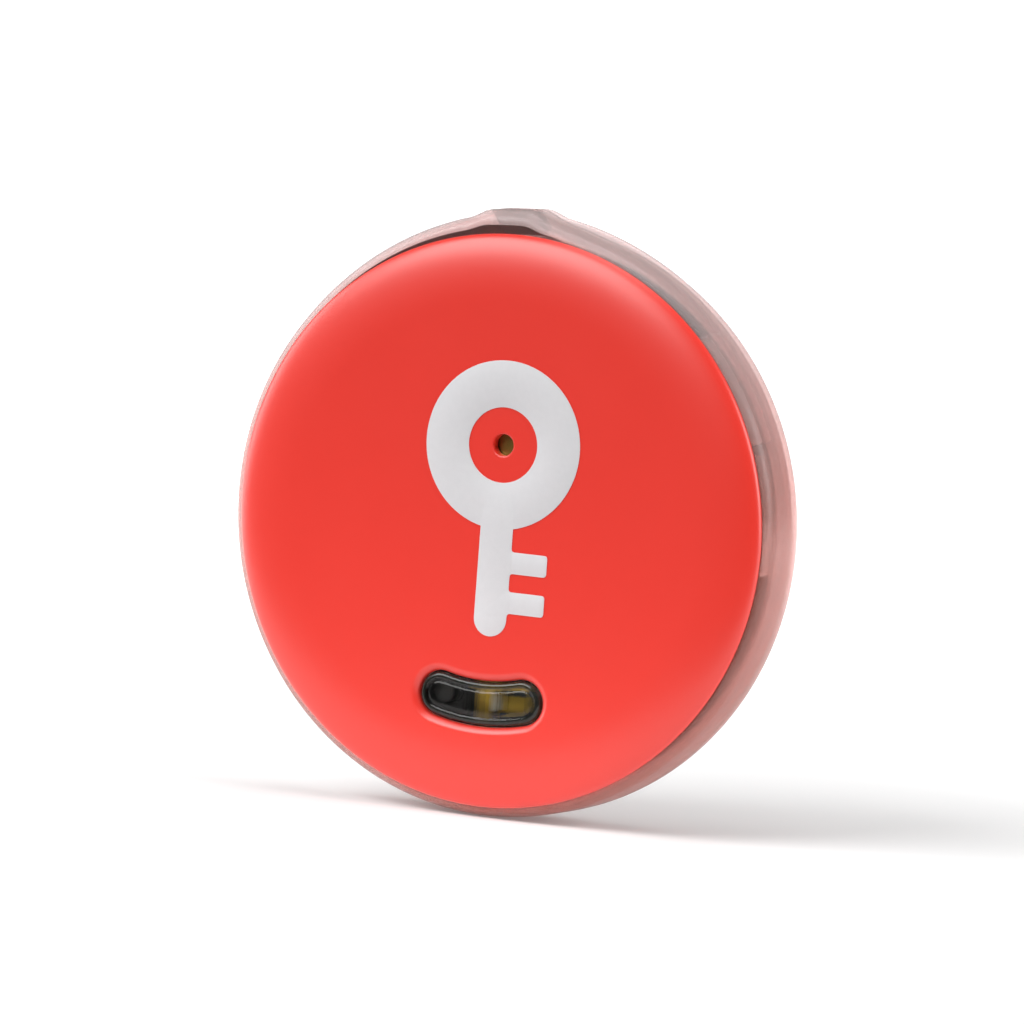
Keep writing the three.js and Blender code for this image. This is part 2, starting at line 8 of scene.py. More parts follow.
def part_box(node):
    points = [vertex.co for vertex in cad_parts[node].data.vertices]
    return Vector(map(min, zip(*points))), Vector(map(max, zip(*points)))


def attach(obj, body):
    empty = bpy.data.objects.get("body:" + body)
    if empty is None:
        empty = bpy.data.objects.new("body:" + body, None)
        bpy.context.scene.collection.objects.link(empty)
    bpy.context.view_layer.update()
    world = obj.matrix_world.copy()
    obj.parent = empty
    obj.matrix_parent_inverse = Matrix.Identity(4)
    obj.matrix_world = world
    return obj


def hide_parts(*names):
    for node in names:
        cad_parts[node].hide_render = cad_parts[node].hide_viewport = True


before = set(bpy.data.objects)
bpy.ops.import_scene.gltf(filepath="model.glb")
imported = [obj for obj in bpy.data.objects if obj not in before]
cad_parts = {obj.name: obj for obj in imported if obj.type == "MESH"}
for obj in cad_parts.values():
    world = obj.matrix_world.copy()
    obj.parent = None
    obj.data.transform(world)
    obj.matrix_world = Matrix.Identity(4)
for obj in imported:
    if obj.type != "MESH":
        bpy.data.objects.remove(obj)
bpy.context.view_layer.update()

# ---------------------------------------------------------------------------------------------------
# Housing ring. The tag's wall: a rose tinted polycarbonate moulding, frosted outside and polished inside,
# so the dark frame and the white carrier behind it show as soft shapes. Its lug at the top is turned a
# little to the left, and a slot for the lanyard goes in through the lug's flat top and out at the back.

MM = 0.001  # pieces are shaped in millimetres, then brought down to metres as they are finished

RING_STEPS = 288
BODY_RADIUS = 13.0
BORE_RADIUS = 11.3
COVER_RADIUS = 12.57
SWELL_RADIUS = 11.9
LUG_REACH = 13.62
LUG_TURN = math.radians(3.6)
LUG_HALF = math.radians(4.5)
LUG_STEP = 0.23
LUG_STEP_ANGLE = math.radians(3.0)
LEFT_FADE = math.radians(45.0)
RING_RIGHT_FADE = math.radians(14.0)
PRY_FADE = math.radians(33.0)
FADE_POWER = 1.5
SLOT_LENGTH = 2.4
SLOT_HEIGHT = 0.5
SLOT_TILT = math.radians(38.0)
FRONT_ROUND_WIDTH = 0.38
FRONT_ROUND_DEPTH = 0.75
RIM_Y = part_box("housing_ring")[0].y / MM
RING_BACK_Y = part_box("housing_ring")[1].y / MM
SLOT_MOUTH_Y = RIM_Y + FRONT_ROUND_DEPTH + 0.05 + SLOT_HEIGHT / 2 / math.sin(SLOT_TILT)


def arc_points(centre, radii, start, end, steps):
    """Points on an ellipse's arc, in radius and y, between two angles in degrees."""
    points = []
    for i in range(steps + 1):
        angle = math.radians(start + (end - start) * i / steps)
        points.append((centre[0] + radii[0] * math.cos(angle), centre[1] + radii[1] * math.sin(angle)))
    return points


def spun(profile, steps=RING_STEPS, whole=False, angle=math.tau, start=0.0):
    """A bmesh turned about the Y axis from (radius, y) points. whole closes the profile on itself."""
    bm = bmesh.new()
    across = Vector((math.cos(start), 0, math.sin(start)))
    verts = [bm.verts.new(across * radius + Vector((0, y, 0))) for radius, y in profile]
    pairs = list(zip(verts, verts[1:]))
    if whole:
        pairs.append((verts[-1], verts[0]))
    edges = [bm.edges.new(pair) for pair in pairs]
    geometry = verts + edges
    if angle < math.tau:
        geometry = geometry + [bm.faces.new(verts)]
    bmesh.ops.spin(
        bm, geom=geometry, cent=(0, 0, 0), axis=(0, -1, 0), dvec=(0, 0, 0),
        angle=angle, steps=steps, use_merge=angle == math.tau, use_duplicate=False,
    )
    bmesh.ops.remove_doubles(bm, verts=bm.verts, dist=1e-5)
    bmesh.ops.recalc_face_normals(bm, faces=bm.faces)
    return bm


def outline_rise(angle, right_fade):
    """How far the wall stands out of its circle, at an angle from the lug's middle."""
    away = abs(angle)
    if away <= LUG_HALF:
        return LUG_REACH / math.cos(away) - BODY_RADIUS
    corner = LUG_REACH / math.cos(LUG_HALF) - BODY_RADIUS
    past = away - LUG_HALF
    on_shoulder = max(1 - past / (LEFT_FADE if angle > 0 else right_fade), 0.0)
    on_step = max(1 - past / LUG_STEP_ANGLE, 0.0)
    return (corner - LUG_STEP) * on_shoulder ** FADE_POWER + LUG_STEP * on_step


def with_lug(bm, right_fade):
    """Pushes the outer wall out into the lug, with its corners eased over a degree or two."""
    ease = math.radians(0.5)
    for vert in bm.verts:
        radius = math.hypot(vert.co.x, vert.co.z)
        share = (radius - SWELL_RADIUS) / (BODY_RADIUS - SWELL_RADIUS)
        if share <= 0:
            continue
        angle = math.atan2(vert.co.z, vert.co.x) - math.pi / 2 - LUG_TURN
        angle = math.atan2(math.sin(angle), math.cos(angle))
        rise = sum(outline_rise(angle + i * ease, right_fade) for i in (-2, -1, 0, 1, 2)) / 5
        grown = 1 + rise * share / radius
        vert.co.x *= grown
        vert.co.z *= grown


def plate(outline, front, back):
    """A slab with an outline in X and Z between two y values."""
    bm = bmesh.new()
    face = bm.faces.new([bm.verts.new((x, front, z)) for x, z in outline])
    pushed = bmesh.ops.extrude_face_region(bm, geom=[face])["geom"]
    moved = [v for v in pushed if isinstance(v, bmesh.types.BMVert)]
    bmesh.ops.translate(bm, verts=moved, vec=(0, back - front, 0))
    bmesh.ops.recalc_face_normals(bm, faces=bm.faces)
    return bm


def to_object(bm, name):
    mesh = bpy.data.meshes.new(name)
    bm.to_mesh(mesh)
    bm.free()
    made = bpy.data.objects.new(name, mesh)
    bpy.context.scene.collection.objects.link(made)
    return made


def cut_away(bm, cutters):
    """The body less each cutter, as a new bmesh."""
    body = to_object(bm, "cutting_body")
    tools = [to_object(cutter, "cutting_tool") for cutter in cutters]
    for tool in tools:
        step = body.modifiers.new("cut", "BOOLEAN")
        step.operation = "DIFFERENCE"
        step.solver = "EXACT"
        step.object = tool
    bpy.context.view_layer.update()
    seen = body.evaluated_get(bpy.context.evaluated_depsgraph_get())
    result = bmesh.new()
    result.from_mesh(seen.to_mesh())
    seen.to_mesh_clear()
    for used in [body] + tools:
        mesh = used.data
        bpy.data.objects.remove(used)
        bpy.data.meshes.remove(mesh)
    return result


def ease_edges(bm, width, chosen, segments=2, least=35.0):
    """Bevels the sharp edges for which chosen(middle) is true."""
    sharp = [
        e for e in bm.edges
        if len(e.link_faces) == 2
        and e.calc_face_angle(0.0) > math.radians(least)
        and chosen((e.verts[0].co + e.verts[1].co) / 2)
    ]
    bmesh.ops.bevel(
        bm, geom=sharp, offset=width, offset_type="OFFSET", segments=segments, profile=0.5,
        affect="EDGES", material=-1, clamp_overlap=True,
    )


def finished(bm, name, materials, body, nodes, smooth_below=32.0):
    """Turns a bmesh in millimetres into a finished piece that rides on a body and stands for its nodes."""
    bmesh.ops.scale(bm, verts=bm.verts, vec=(MM, MM, MM))
    piece = to_object(bm, name)
    for each in materials:
        piece.data.materials.append(each)
    piece.data.polygons.foreach_set("use_smooth", [True] * len(piece.data.polygons))
    piece.data.set_sharp_from_angle(angle=math.radians(smooth_below))
    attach(piece, body)
    if nodes:
        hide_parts(*nodes)
    return piece


SLOT_PLACE = (
    Matrix.Rotation(-LUG_TURN, 4, "Y")
    @ Matrix.Translation((0, SLOT_MOUTH_Y, LUG_REACH))
    @ Matrix.Rotation(-SLOT_TILT, 4, "X")
)


def slot_cutter():
    """The lanyard slot: a long hole with round ends, tilted down towards the back, turned with the lug."""
    half = (SLOT_LENGTH - SLOT_HEIGHT) / 2
    outline = []
    for side, start in ((half, -90), (-half, 90)):
        for i in range(13):
            angle = math.radians(start + 15 * i)
            outline.append((side + SLOT_HEIGHT / 2 * math.cos(angle), SLOT_HEIGHT / 2 * math.sin(angle)))
    bm = plate(outline, -BODY_RADIUS, BODY_RADIUS)
    bmesh.ops.transform(bm, matrix=SLOT_PLACE, verts=bm.verts)
    return bm


def near_slot(point):
    """Whether a point is on the lanyard slot's rim."""
    inside = SLOT_PLACE.inverted() @ point
    return abs(inside.x) < SLOT_LENGTH / 2 + 0.02 and abs(inside.z) < SLOT_HEIGHT / 2 + 0.02


def arc_block(inner, outer, front, back, middle, half, steps=14):
    """A block that fills part of a ring, given by its radii, y values, middle angle and half angle."""
    profile = [(inner, front), (outer, front), (outer, back), (inner, back)]
    return spun(profile, steps=steps, angle=2 * half, start=middle - half)


def socket(group, name, kind, inward, value=None):
    made = group.interface.new_socket(
        name=name, in_out="INPUT" if inward else "OUTPUT", socket_type=kind,
    )
    if value is not None:
        made.default_value = value
    return made


def grain_group():
    """Moulded grain: a bumped normal and a roughness that drifts, both from the piece's own coordinates."""
    group = bpy.data.node_groups.new("moulded_grain", "ShaderNodeTree")
    socket(group, "Grain size mm", "NodeSocketFloat", True, 0.05)
    socket(group, "Height um", "NodeSocketFloat", True, 4.0)
    socket(group, "Roughness", "NodeSocketFloat", True, 0.45)
    socket(group, "Roughness drift", "NodeSocketFloat", True, 0.06)
    socket(group, "Normal", "NodeSocketVector", False)
    socket(group, "Roughness", "NodeSocketFloat", False)
    nodes, links = group.nodes, group.links
    take = nodes.new("NodeGroupInput")
    give = nodes.new("NodeGroupOutput")
    place = nodes.new("ShaderNodeTexCoord")
    to_scale = nodes.new("ShaderNodeMath")
    to_scale.operation = "DIVIDE"
    to_scale.inputs[0].default_value = 1 / MM
    links.new(take.outputs["Grain size mm"], to_scale.inputs[1])
    grain = nodes.new("ShaderNodeTexNoise")
    grain.inputs["Detail"].default_value = 3.0
    links.new(place.outputs["Object"], grain.inputs["Vector"])
    links.new(to_scale.outputs[0], grain.inputs["Scale"])
    height = nodes.new("ShaderNodeMath")
    height.operation = "MULTIPLY"
    height.inputs[1].default_value = 1e-6
    links.new(take.outputs["Height um"], height.inputs[0])
    bump = nodes.new("ShaderNodeBump")
    links.new(height.outputs[0], bump.inputs["Distance"])
    links.new(grain.outputs["Fac"], bump.inputs["Height"])
    links.new(bump.outputs["Normal"], give.inputs["Normal"])
    drift = nodes.new("ShaderNodeTexNoise")
    drift.inputs["Scale"].default_value = 0.35 / MM
    drift.inputs["Detail"].default_value = 4.0
    links.new(place.outputs["Object"], drift.inputs["Vector"])
    centred = nodes.new("ShaderNodeMath")
    centred.operation = "SUBTRACT"
    centred.inputs[1].default_value = 0.5
    links.new(drift.outputs["Fac"], centred.inputs[0])
    spread = nodes.new("ShaderNodeMath")
    spread.operation = "MULTIPLY_ADD"
    links.new(centred.outputs[0], spread.inputs[0])
    links.new(take.outputs["Roughness drift"], spread.inputs[1])
    links.new(take.outputs["Roughness"], spread.inputs[2])
    links.new(spread.outputs[0], give.inputs["Roughness"])
    return group


def tint_group():
    """Colour drift: two near colours mixed by a soft cloud, from the piece's own coordinates."""
    group = bpy.data.node_groups.new("tint_drift", "ShaderNodeTree")
    socket(group, "Colour", "NodeSocketColor", True, (0.5, 0.5, 0.5, 1))
    socket(group, "Other colour", "NodeSocketColor", True, (0.4, 0.4, 0.4, 1))
    socket(group, "Cloud size mm", "NodeSocketFloat", True, 3.0)
    socket(group, "Colour", "NodeSocketColor", False)
    nodes, links = group.nodes, group.links
    take = nodes.new("NodeGroupInput")
    give = nodes.new("NodeGroupOutput")
    place = nodes.new("ShaderNodeTexCoord")
    to_scale = nodes.new("ShaderNodeMath")
    to_scale.operation = "DIVIDE"
    to_scale.inputs[0].default_value = 1 / MM
    links.new(take.outputs["Cloud size mm"], to_scale.inputs[1])
    cloud = nodes.new("ShaderNodeTexNoise")
    cloud.inputs["Detail"].default_value = 4.0
    links.new(place.outputs["Object"], cloud.inputs["Vector"])
    links.new(to_scale.outputs[0], cloud.inputs["Scale"])
    mix = nodes.new("ShaderNodeMix")
    mix.data_type = "RGBA"
    links.new(cloud.outputs["Fac"], mix.inputs["Factor"])
    links.new(take.outputs["Colour"], mix.inputs["A"])
    links.new(take.outputs["Other colour"], mix.inputs["B"])
    links.new(mix.outputs["Result"], give.inputs["Colour"])
    return group


GRAIN = grain_group()
TINT = tint_group()


def finish_of(name, colour, other, cloud=3.0, roughness=0.45, drift=0.06, grain=0.05, height=4.0, **plain):
    """A material whose colour drifts and whose surface has grain. plain holds sockets set as they are."""
    made = bpy.data.materials.new(name)
    made.use_nodes = True
    nodes, links = made.node_tree.nodes, made.node_tree.links
    shader = nodes["Principled BSDF"]
    tint = nodes.new("ShaderNodeGroup")
    tint.node_tree = TINT
    tint.inputs["Colour"].default_value = (*colour, 1)
    tint.inputs["Other colour"].default_value = (*other, 1)
    tint.inputs["Cloud size mm"].default_value = cloud
    links.new(tint.outputs["Colour"], shader.inputs["Base Color"])
    surface = nodes.new("ShaderNodeGroup")
    surface.node_tree = GRAIN
    surface.inputs["Grain size mm"].default_value = grain
    surface.inputs["Height um"].default_value = height
    surface.inputs["Roughness"].default_value = roughness
    surface.inputs["Roughness drift"].default_value = drift
    links.new(surface.outputs["Normal"], shader.inputs["Normal"])
    links.new(surface.outputs["Roughness"], shader.inputs["Roughness"])
    for label, value in plain.items():
        shader.inputs[label.replace("_", " ")].default_value = value
    return made


def rose_tinted(made, depth_tint, density):
    """Gives a clear material the plastic's own tint, which deepens with the thickness light goes through."""
    nodes, links = made.node_tree.nodes, made.node_tree.links
    tint = nodes.new("ShaderNodeVolumeAbsorption")
    tint.inputs["Color"].default_value = (*depth_tint, 1)
    tint.inputs["Density"].default_value = density
    links.new(tint.outputs["Volume"], nodes["Material Output"].inputs["Volume"])
    return made


def paler_upwards_painted_light(made, painted_light_colour):
    """Mixes the colour towards a paler one from a little below the middle up to the top: painted light, the
    wall's upper part made paler as if lit from above.
    """
    nodes, links = made.node_tree.nodes, made.node_tree.links
    shader = nodes["Principled BSDF"]
    tinted = shader.inputs["Base Color"].links[0].from_socket
    place = nodes.new("ShaderNodeTexCoord")
    split = nodes.new("ShaderNodeSeparateXYZ")
    links.new(place.outputs["Object"], split.inputs[0])
    # Painted light: the share of the paler colour grows with height, from 2 mm below the middle to 13 mm
    # above it.
    share = nodes.new("ShaderNodeMapRange")
    share.interpolation_type = "SMOOTHSTEP"
    share.inputs["From Min"].default_value = -2.0 * MM
    share.inputs["From Max"].default_value = 13.0 * MM
    links.new(split.outputs["Z"], share.inputs["Value"])
    mix = nodes.new("ShaderNodeMix")
    mix.data_type = "RGBA"
    mix.inputs["B"].default_value = (*painted_light_colour, 1)
    links.new(share.outputs["Result"], mix.inputs["Factor"])
    links.new(tinted, mix.inputs["A"])
    links.new(mix.outputs["Result"], shader.inputs["Base Color"])


ROSE = (0.95, 0.40, 0.34)
ROSE_DENSITY = 260.0
frosted = rose_tinted(finish_of(
    "frosted_rose_polycarbonate", (0.97, 0.46, 0.39), (0.90, 0.33, 0.27), cloud=1.1,
    roughness=0.24, drift=0.12, grain=0.09, height=14.0, Transmission_Weight=0.55, IOR=1.49, Alpha=0.60,
), ROSE, ROSE_DENSITY)
# Painted light: the frosted wall is made paler towards the top, as if lit from above.
paler_upwards_painted_light(frosted, (0.95, 0.86, 0.85))
polished = rose_tinted(finish_of(
    "polished_rose_polycarbonate", (0.98, 0.74, 0.70), (0.96, 0.66, 0.61), cloud=5.0,
    roughness=0.08, drift=0.04, grain=0.3, height=1.5, Transmission_Weight=0.85, IOR=1.49, Alpha=0.42,
), ROSE, ROSE_DENSITY)


def polish_inside(bm, is_inside):
    """Gives the second material to the faces whose middle is_inside() picks."""
    for face in bm.faces:
        face.material_index = int(is_inside(face.calc_center_median()))

SEAL_INNER = BORE_RADIUS + 0.46
SEAL_OUTER = BORE_RADIUS + 0.96
SEAL_GROOVE_Y = RING_BACK_Y - 0.38
ring_profile = (
    [(BORE_RADIUS, RIM_Y + 0.05), (BORE_RADIUS + 0.05, RIM_Y), (COVER_RADIUS, RIM_Y)]
    + arc_points(
        (BODY_RADIUS - FRONT_ROUND_WIDTH, RIM_Y + FRONT_ROUND_DEPTH),
        (FRONT_ROUND_WIDTH, FRONT_ROUND_DEPTH), -90, 0, 12,
    )
    + [(BODY_RADIUS, RIM_Y + 1.2), (BODY_RADIUS, RING_BACK_Y - 0.3)]
    + arc_points((BODY_RADIUS - 0.07, RING_BACK_Y - 0.07), (0.07, 0.07), 0, 90, 4)
    + [(SEAL_OUTER, RING_BACK_Y), (SEAL_OUTER, SEAL_GROOVE_Y), (SEAL_INNER, SEAL_GROOVE_Y)]
    + [(SEAL_INNER, RING_BACK_Y), (BORE_RADIUS + 0.05, RING_BACK_Y), (BORE_RADIUS, RING_BACK_Y - 0.05)]
)
FRAME_LUG_ANGLES = [math.radians(7 + 120 * i) for i in range(3)]
FRAME_LUG_HALF = math.radians(12)
FRAME_FRONT_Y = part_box("inner_frame")[0].y / MM
FRAME_LUG_DEPTH = 1.0
POCKET_RADIUS = BORE_RADIUS + 1.11
POCKET_ROOM = 0.06
POCKET_TURN = POCKET_ROOM / BORE_RADIUS
CARRIER_ANGLE = math.radians(33.5)
CARRIER_FRONT_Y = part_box("antenna_carrier")[0].y / MM
CARRIER_BACK_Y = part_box("antenna_carrier")[1].y / MM

ring = spun(ring_profile, whole=True)
with_lug(ring, RING_RIGHT_FADE)
pockets = [
    arc_block(
        BORE_RADIUS - 0.5, POCKET_RADIUS, FRAME_FRONT_Y - POCKET_ROOM,
        FRAME_FRONT_Y + FRAME_LUG_DEPTH + POCKET_ROOM, angle, FRAME_LUG_HALF + POCKET_TURN,
    )
    for angle in FRAME_LUG_ANGLES
]
pockets.append(arc_block(
    BORE_RADIUS - 0.5, POCKET_RADIUS, CARRIER_FRONT_Y - POCKET_ROOM,
    CARRIER_BACK_Y + POCKET_ROOM, CARRIER_ANGLE, FRAME_LUG_HALF + POCKET_TURN,
))
ring = cut_away(ring, [slot_cutter()] + pockets)
ease_edges(ring, 0.05, near_slot)
polish_inside(ring, lambda point: math.hypot(point.x, point.z) < COVER_RADIUS - 0.1)
finished(ring, "ring_shell", [frosted, polished], "housing", ["housing_ring"])

# ---------------------------------------------------------------------------------------------------
# Back seal. A square-cut rubber ring that lies in the ring's rear groove and keeps dust and rain out.
# It is cut from a moulded tube, so its edges are barely eased.

rubber = finish_of(
    "black_rubber", (0.022, 0.022, 0.023), (0.035, 0.034, 0.034), cloud=1.5,
    roughness=0.68, drift=0.15, grain=0.08, height=6.0,
)
seal_low, seal_high = (corner.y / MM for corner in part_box("back_seal"))
SEAL_EASE = 0.06
seal = spun([
    (SEAL_INNER + 0.04, seal_low + SEAL_EASE), (SEAL_INNER + 0.04 + SEAL_EASE, seal_low),
    (SEAL_OUTER - 0.04 - SEAL_EASE, seal_low), (SEAL_OUTER - 0.04, seal_low + SEAL_EASE),
    (SEAL_OUTER - 0.04, seal_high - SEAL_EASE), (SEAL_OUTER - 0.04 - SEAL_EASE, seal_high),
    (SEAL_INNER + 0.04 + SEAL_EASE, seal_high), (SEAL_INNER + 0.04, seal_high - SEAL_EASE),
], steps=180, whole=True)
finished(seal, "seal_ring", [rubber], "housing", ["back_seal"])

# ---------------------------------------------------------------------------------------------------
# Antenna carrier. A white moulded block pressed into a pocket of the ring beside the antenna. It shows
# through the frosted wall as the pale patch at the upper right.

white_plastic = finish_of(
    "white_moulding", (0.80, 0.82, 0.84), (0.74, 0.76, 0.79), cloud=2.0,
    roughness=0.4, drift=0.1, grain=0.05, height=3.0,
)
carrier = arc_block(
    BORE_RADIUS, BORE_RADIUS + 1.05, CARRIER_FRONT_Y, CARRIER_BACK_Y, CARRIER_ANGLE, FRAME_LUG_HALF,
)
ease_edges(carrier, 0.08, lambda point: True)
finished(carrier, "carrier_block", [white_plastic], "housing", ["antenna_carrier"])

# ---------------------------------------------------------------------------------------------------
# Inner frame. A black glass-filled nylon ring that holds the board in front and the cell behind. Three
# lugs snap into pockets of the housing ring, and one of them is the dark bar seen in the wall.

black_plastic = finish_of(
    "black_nylon", (0.020, 0.014, 0.012), (0.032, 0.022, 0.018), cloud=1.2,
    roughness=0.5, drift=0.14, grain=0.07, height=5.0,
)
FRAME_OUTER = BORE_RADIUS - 0.08
FRAME_REAR_OUTER = 10.75
FRAME_BORE = 10.12
BOARD_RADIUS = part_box("circuit_board")[1].x / MM
BOARD_BORE = BOARD_RADIUS + 0.05
LEDGE_RADIUS = BOARD_BORE - 0.85
WINDOW_RADIUS = 8.6
BOARD_FRONT_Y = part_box("circuit_board")[0].y / MM
BOARD_BACK_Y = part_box("circuit_board")[1].y / MM
CELL_BACK_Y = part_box("cell_can")[1].y / MM
CELL_FRONT_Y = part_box("cell_cap")[0].y / MM
FLOOR_BACK_Y = CELL_FRONT_Y - 0.1
FLOOR_FRONT_Y = FLOOR_BACK_Y - 0.3
FRAME_BACK_Y = CELL_BACK_Y - 0.35
SHOULDER_Y = RING_BACK_Y - 0.70
LEAD_IN = 0.12
holder = spun([
    (BOARD_BORE + 0.04, FRAME_FRONT_Y), (FRAME_OUTER - 0.04, FRAME_FRONT_Y),
    (FRAME_OUTER, FRAME_FRONT_Y + 0.04), (FRAME_OUTER, SHOULDER_Y), (FRAME_REAR_OUTER, SHOULDER_Y),
    (FRAME_REAR_OUTER, FRAME_BACK_Y - 0.06), (FRAME_REAR_OUTER - 0.06, FRAME_BACK_Y),
    (FRAME_BORE + LEAD_IN, FRAME_BACK_Y), (FRAME_BORE, FRAME_BACK_Y - LEAD_IN),
    (FRAME_BORE, FLOOR_BACK_Y), (WINDOW_RADIUS + 0.05, FLOOR_BACK_Y),
    (WINDOW_RADIUS, FLOOR_BACK_Y - 0.05), (WINDOW_RADIUS, FLOOR_FRONT_Y),
    (LEDGE_RADIUS, FLOOR_FRONT_Y), (LEDGE_RADIUS, BOARD_BACK_Y + 0.02),
    (BOARD_BORE, BOARD_BACK_Y + 0.02), (BOARD_BORE, FRAME_FRONT_Y + 0.04),
], steps=180, whole=True)
contact_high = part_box("contact_positive")[1]
slot_half = contact_high.z / MM + 0.25
contact_slot = plate(
    [(-11.0, -slot_half), (-8.0, -slot_half), (-8.0, slot_half), (-11.0, slot_half)],
    BOARD_BACK_Y + 0.02, FRAME_BACK_Y + 1.0,
)
holder = cut_away(holder, [contact_slot])
finished(holder, "cell_holder", [black_plastic], "housing", ["inner_frame"])
for number, angle in enumerate(FRAME_LUG_ANGLES, 1):
    lug = arc_block(
        FRAME_OUTER - 0.1, BORE_RADIUS + 1.05, FRAME_FRONT_Y + 0.02,
        FRAME_FRONT_Y + FRAME_LUG_DEPTH, angle, FRAME_LUG_HALF,
    )
    ease_edges(lug, 0.06, lambda point: True)
    finished(lug, f"holder_lug_{number}", [black_plastic], "housing", [])

# ---------------------------------------------------------------------------------------------------
# Circuit board. Black solder mask over glass laminate, with gold lands under the button, a chequer of
# copper under the mask, and a notch at each side that keys it to the frame.


def board_mask():
    """Solder mask: near-black green, glossy, with buried copper tracks that lift it a little."""
    made = finish_of(
        "black_solder_mask", (0.006, 0.010, 0.008), (0.012, 0.018, 0.014), cloud=1.0,
        roughness=0.28, drift=0.12, grain=0.09, height=2.0, Coat_Weight=0.4, Coat_Roughness=0.12,
    )
    nodes, links = made.node_tree.nodes, made.node_tree.links
    place = nodes.new("ShaderNodeTexCoord")
    tracks = nodes.new("ShaderNodeTexVoronoi")
    tracks.feature = "DISTANCE_TO_EDGE"
    tracks.distance = "MANHATTAN"
    tracks.inputs["Scale"].default_value = 0.9 / MM
    links.new(place.outputs["Object"], tracks.inputs["Vector"])
    edge = nodes.new("ShaderNodeMapRange")
    edge.inputs["From Min"].default_value = 0.06
    edge.inputs["From Max"].default_value = 0.12
    links.new(tracks.outputs["Distance"], edge.inputs["Value"])
    lift = nodes.new("ShaderNodeBump")
    lift.inputs["Distance"].default_value = 0.02 * MM
    links.new(edge.outputs["Result"], lift.inputs["Height"])
    surface = next(n for n in nodes if n.type == "GROUP" and n.node_tree == GRAIN)
    links.new(surface.outputs["Normal"], lift.inputs["Normal"])
    links.new(lift.outputs["Normal"], nodes["Principled BSDF"].inputs["Normal"])
    return made


def eased_copy(node, width, segments=2):
    """A CAD node's shape with its facets joined and its edges eased, in millimetres."""
    bm = bmesh.new()
    bm.from_mesh(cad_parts[node].data)
    bmesh.ops.scale(bm, verts=bm.verts, vec=(1 / MM, 1 / MM, 1 / MM))
    bmesh.ops.remove_doubles(bm, verts=bm.verts, dist=1e-3)
    bmesh.ops.dissolve_limit(bm, angle_limit=math.radians(2), verts=bm.verts, edges=bm.edges)
    ease_edges(bm, width, lambda point: True, segments)
    return bm


solder_mask = board_mask()
board = spun([
    (0, BOARD_FRONT_Y), (BOARD_RADIUS - 0.03, BOARD_FRONT_Y), (BOARD_RADIUS, BOARD_FRONT_Y + 0.03),
    (BOARD_RADIUS, BOARD_BACK_Y - 0.03), (BOARD_RADIUS - 0.03, BOARD_BACK_Y), (0, BOARD_BACK_Y),
], steps=180)
NOTCH_RADIUS = 0.7
notches = []
for angle in (math.radians(150), math.radians(330)):
    notch = spun([
        (0, BOARD_FRONT_Y - 1), (NOTCH_RADIUS, BOARD_FRONT_Y - 1),
        (NOTCH_RADIUS, BOARD_BACK_Y + 1), (0, BOARD_BACK_Y + 1),
    ], 40)
    bmesh.ops.translate(
        notch, verts=notch.verts, vec=(BOARD_RADIUS * math.cos(angle), 0, BOARD_RADIUS * math.sin(angle)),
    )
    notches.append(notch)
board = cut_away(board, notches)
finished(board, "board_laminate", [solder_mask], "housing", ["circuit_board"])

gold = finish_of(
    "gold_plate", (0.62, 0.42, 0.075), (0.50, 0.33, 0.06), cloud=0.35,
    roughness=0.38, drift=0.3, grain=0.05, height=6.0, Metallic=1.0,
)
for node in ("gold_pad_left", "gold_pad_right"):
    finished(eased_copy(node, 0.012), node + "_land", [gold], "housing", [node])

# ---------------------------------------------------------------------------------------------------
# Parts on the board. Black epoxy chips, nickel crystal cans, a white ceramic antenna, and capacitors of
# tan ceramic with tinned ends, all reflowed onto the board.

epoxy = finish_of(
    "black_epoxy", (0.014, 0.014, 0.016), (0.022, 0.022, 0.025), cloud=0.8,
    roughness=0.55, drift=0.1, grain=0.04, height=4.0,
)
nickel = finish_of(
    "nickel_plate", (0.56, 0.56, 0.56), (0.50, 0.50, 0.51), cloud=0.8,
    roughness=0.28, drift=0.2, grain=0.06, height=2.0, Metallic=1.0,
)
white_ceramic = finish_of(
    "white_ceramic", (0.72, 0.72, 0.68), (0.64, 0.63, 0.58), cloud=0.4,
    roughness=0.4, drift=0.12, grain=0.04, height=3.0,
)
tan_ceramic = finish_of(
    "tan_ceramic", (0.34, 0.22, 0.13), (0.28, 0.18, 0.11), cloud=0.3,
    roughness=0.45, drift=0.12, grain=0.04, height=3.0,
)
part_finishes = {
    "radio_chip": (epoxy, "epoxy", 0.05),
    "memory_chip": (epoxy, "epoxy", 0.05),
    "power_inductor": (epoxy, "epoxy", 0.12),
    "main_crystal": (nickel, "steel", 0.10),
    "clock_crystal": (nickel, "steel", 0.10),
    "chip_antenna": (white_ceramic, "ceramic_white", 0.06),
    "switch_body": (epoxy, "epoxy", 0.04),
    "indicator_lamp": (white_ceramic, "ceramic_white", 0.03),
}
for node, (material, slot, width) in part_finishes.items():
    finished(eased_copy(node, width), node + "_part", [material], "housing", [node])
for number in range(1, 7):
    node = f"capacitor_{number}"
    chip = eased_copy(node, 0.05)
    low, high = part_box(node)
    middle = (low + high) / 2 / MM
    turn = [0, 0.3, 0, 0.4, 0.9, 0.4][number - 1]
    along = Vector((math.cos(turn), 0, math.sin(turn)))
    for side in (-1, 1):
        bmesh.ops.bisect_plane(
            chip, geom=chip.verts[:] + chip.edges[:] + chip.faces[:],
            plane_co=middle + along * 0.27 * side, plane_no=along,
        )
    for face in chip.faces:
        face.material_index = int(abs((face.calc_center_median() - middle).dot(along)) > 0.27)
    finished(chip, node + "_part", [tan_ceramic, nickel], "housing", [node])

# ---------------------------------------------------------------------------------------------------
# Sounder. A brass plate with a white ceramic disc bonded on it, stuck behind the sound hole by a foam
# ring, and fed by two small gold-plated springs that stand on the board.

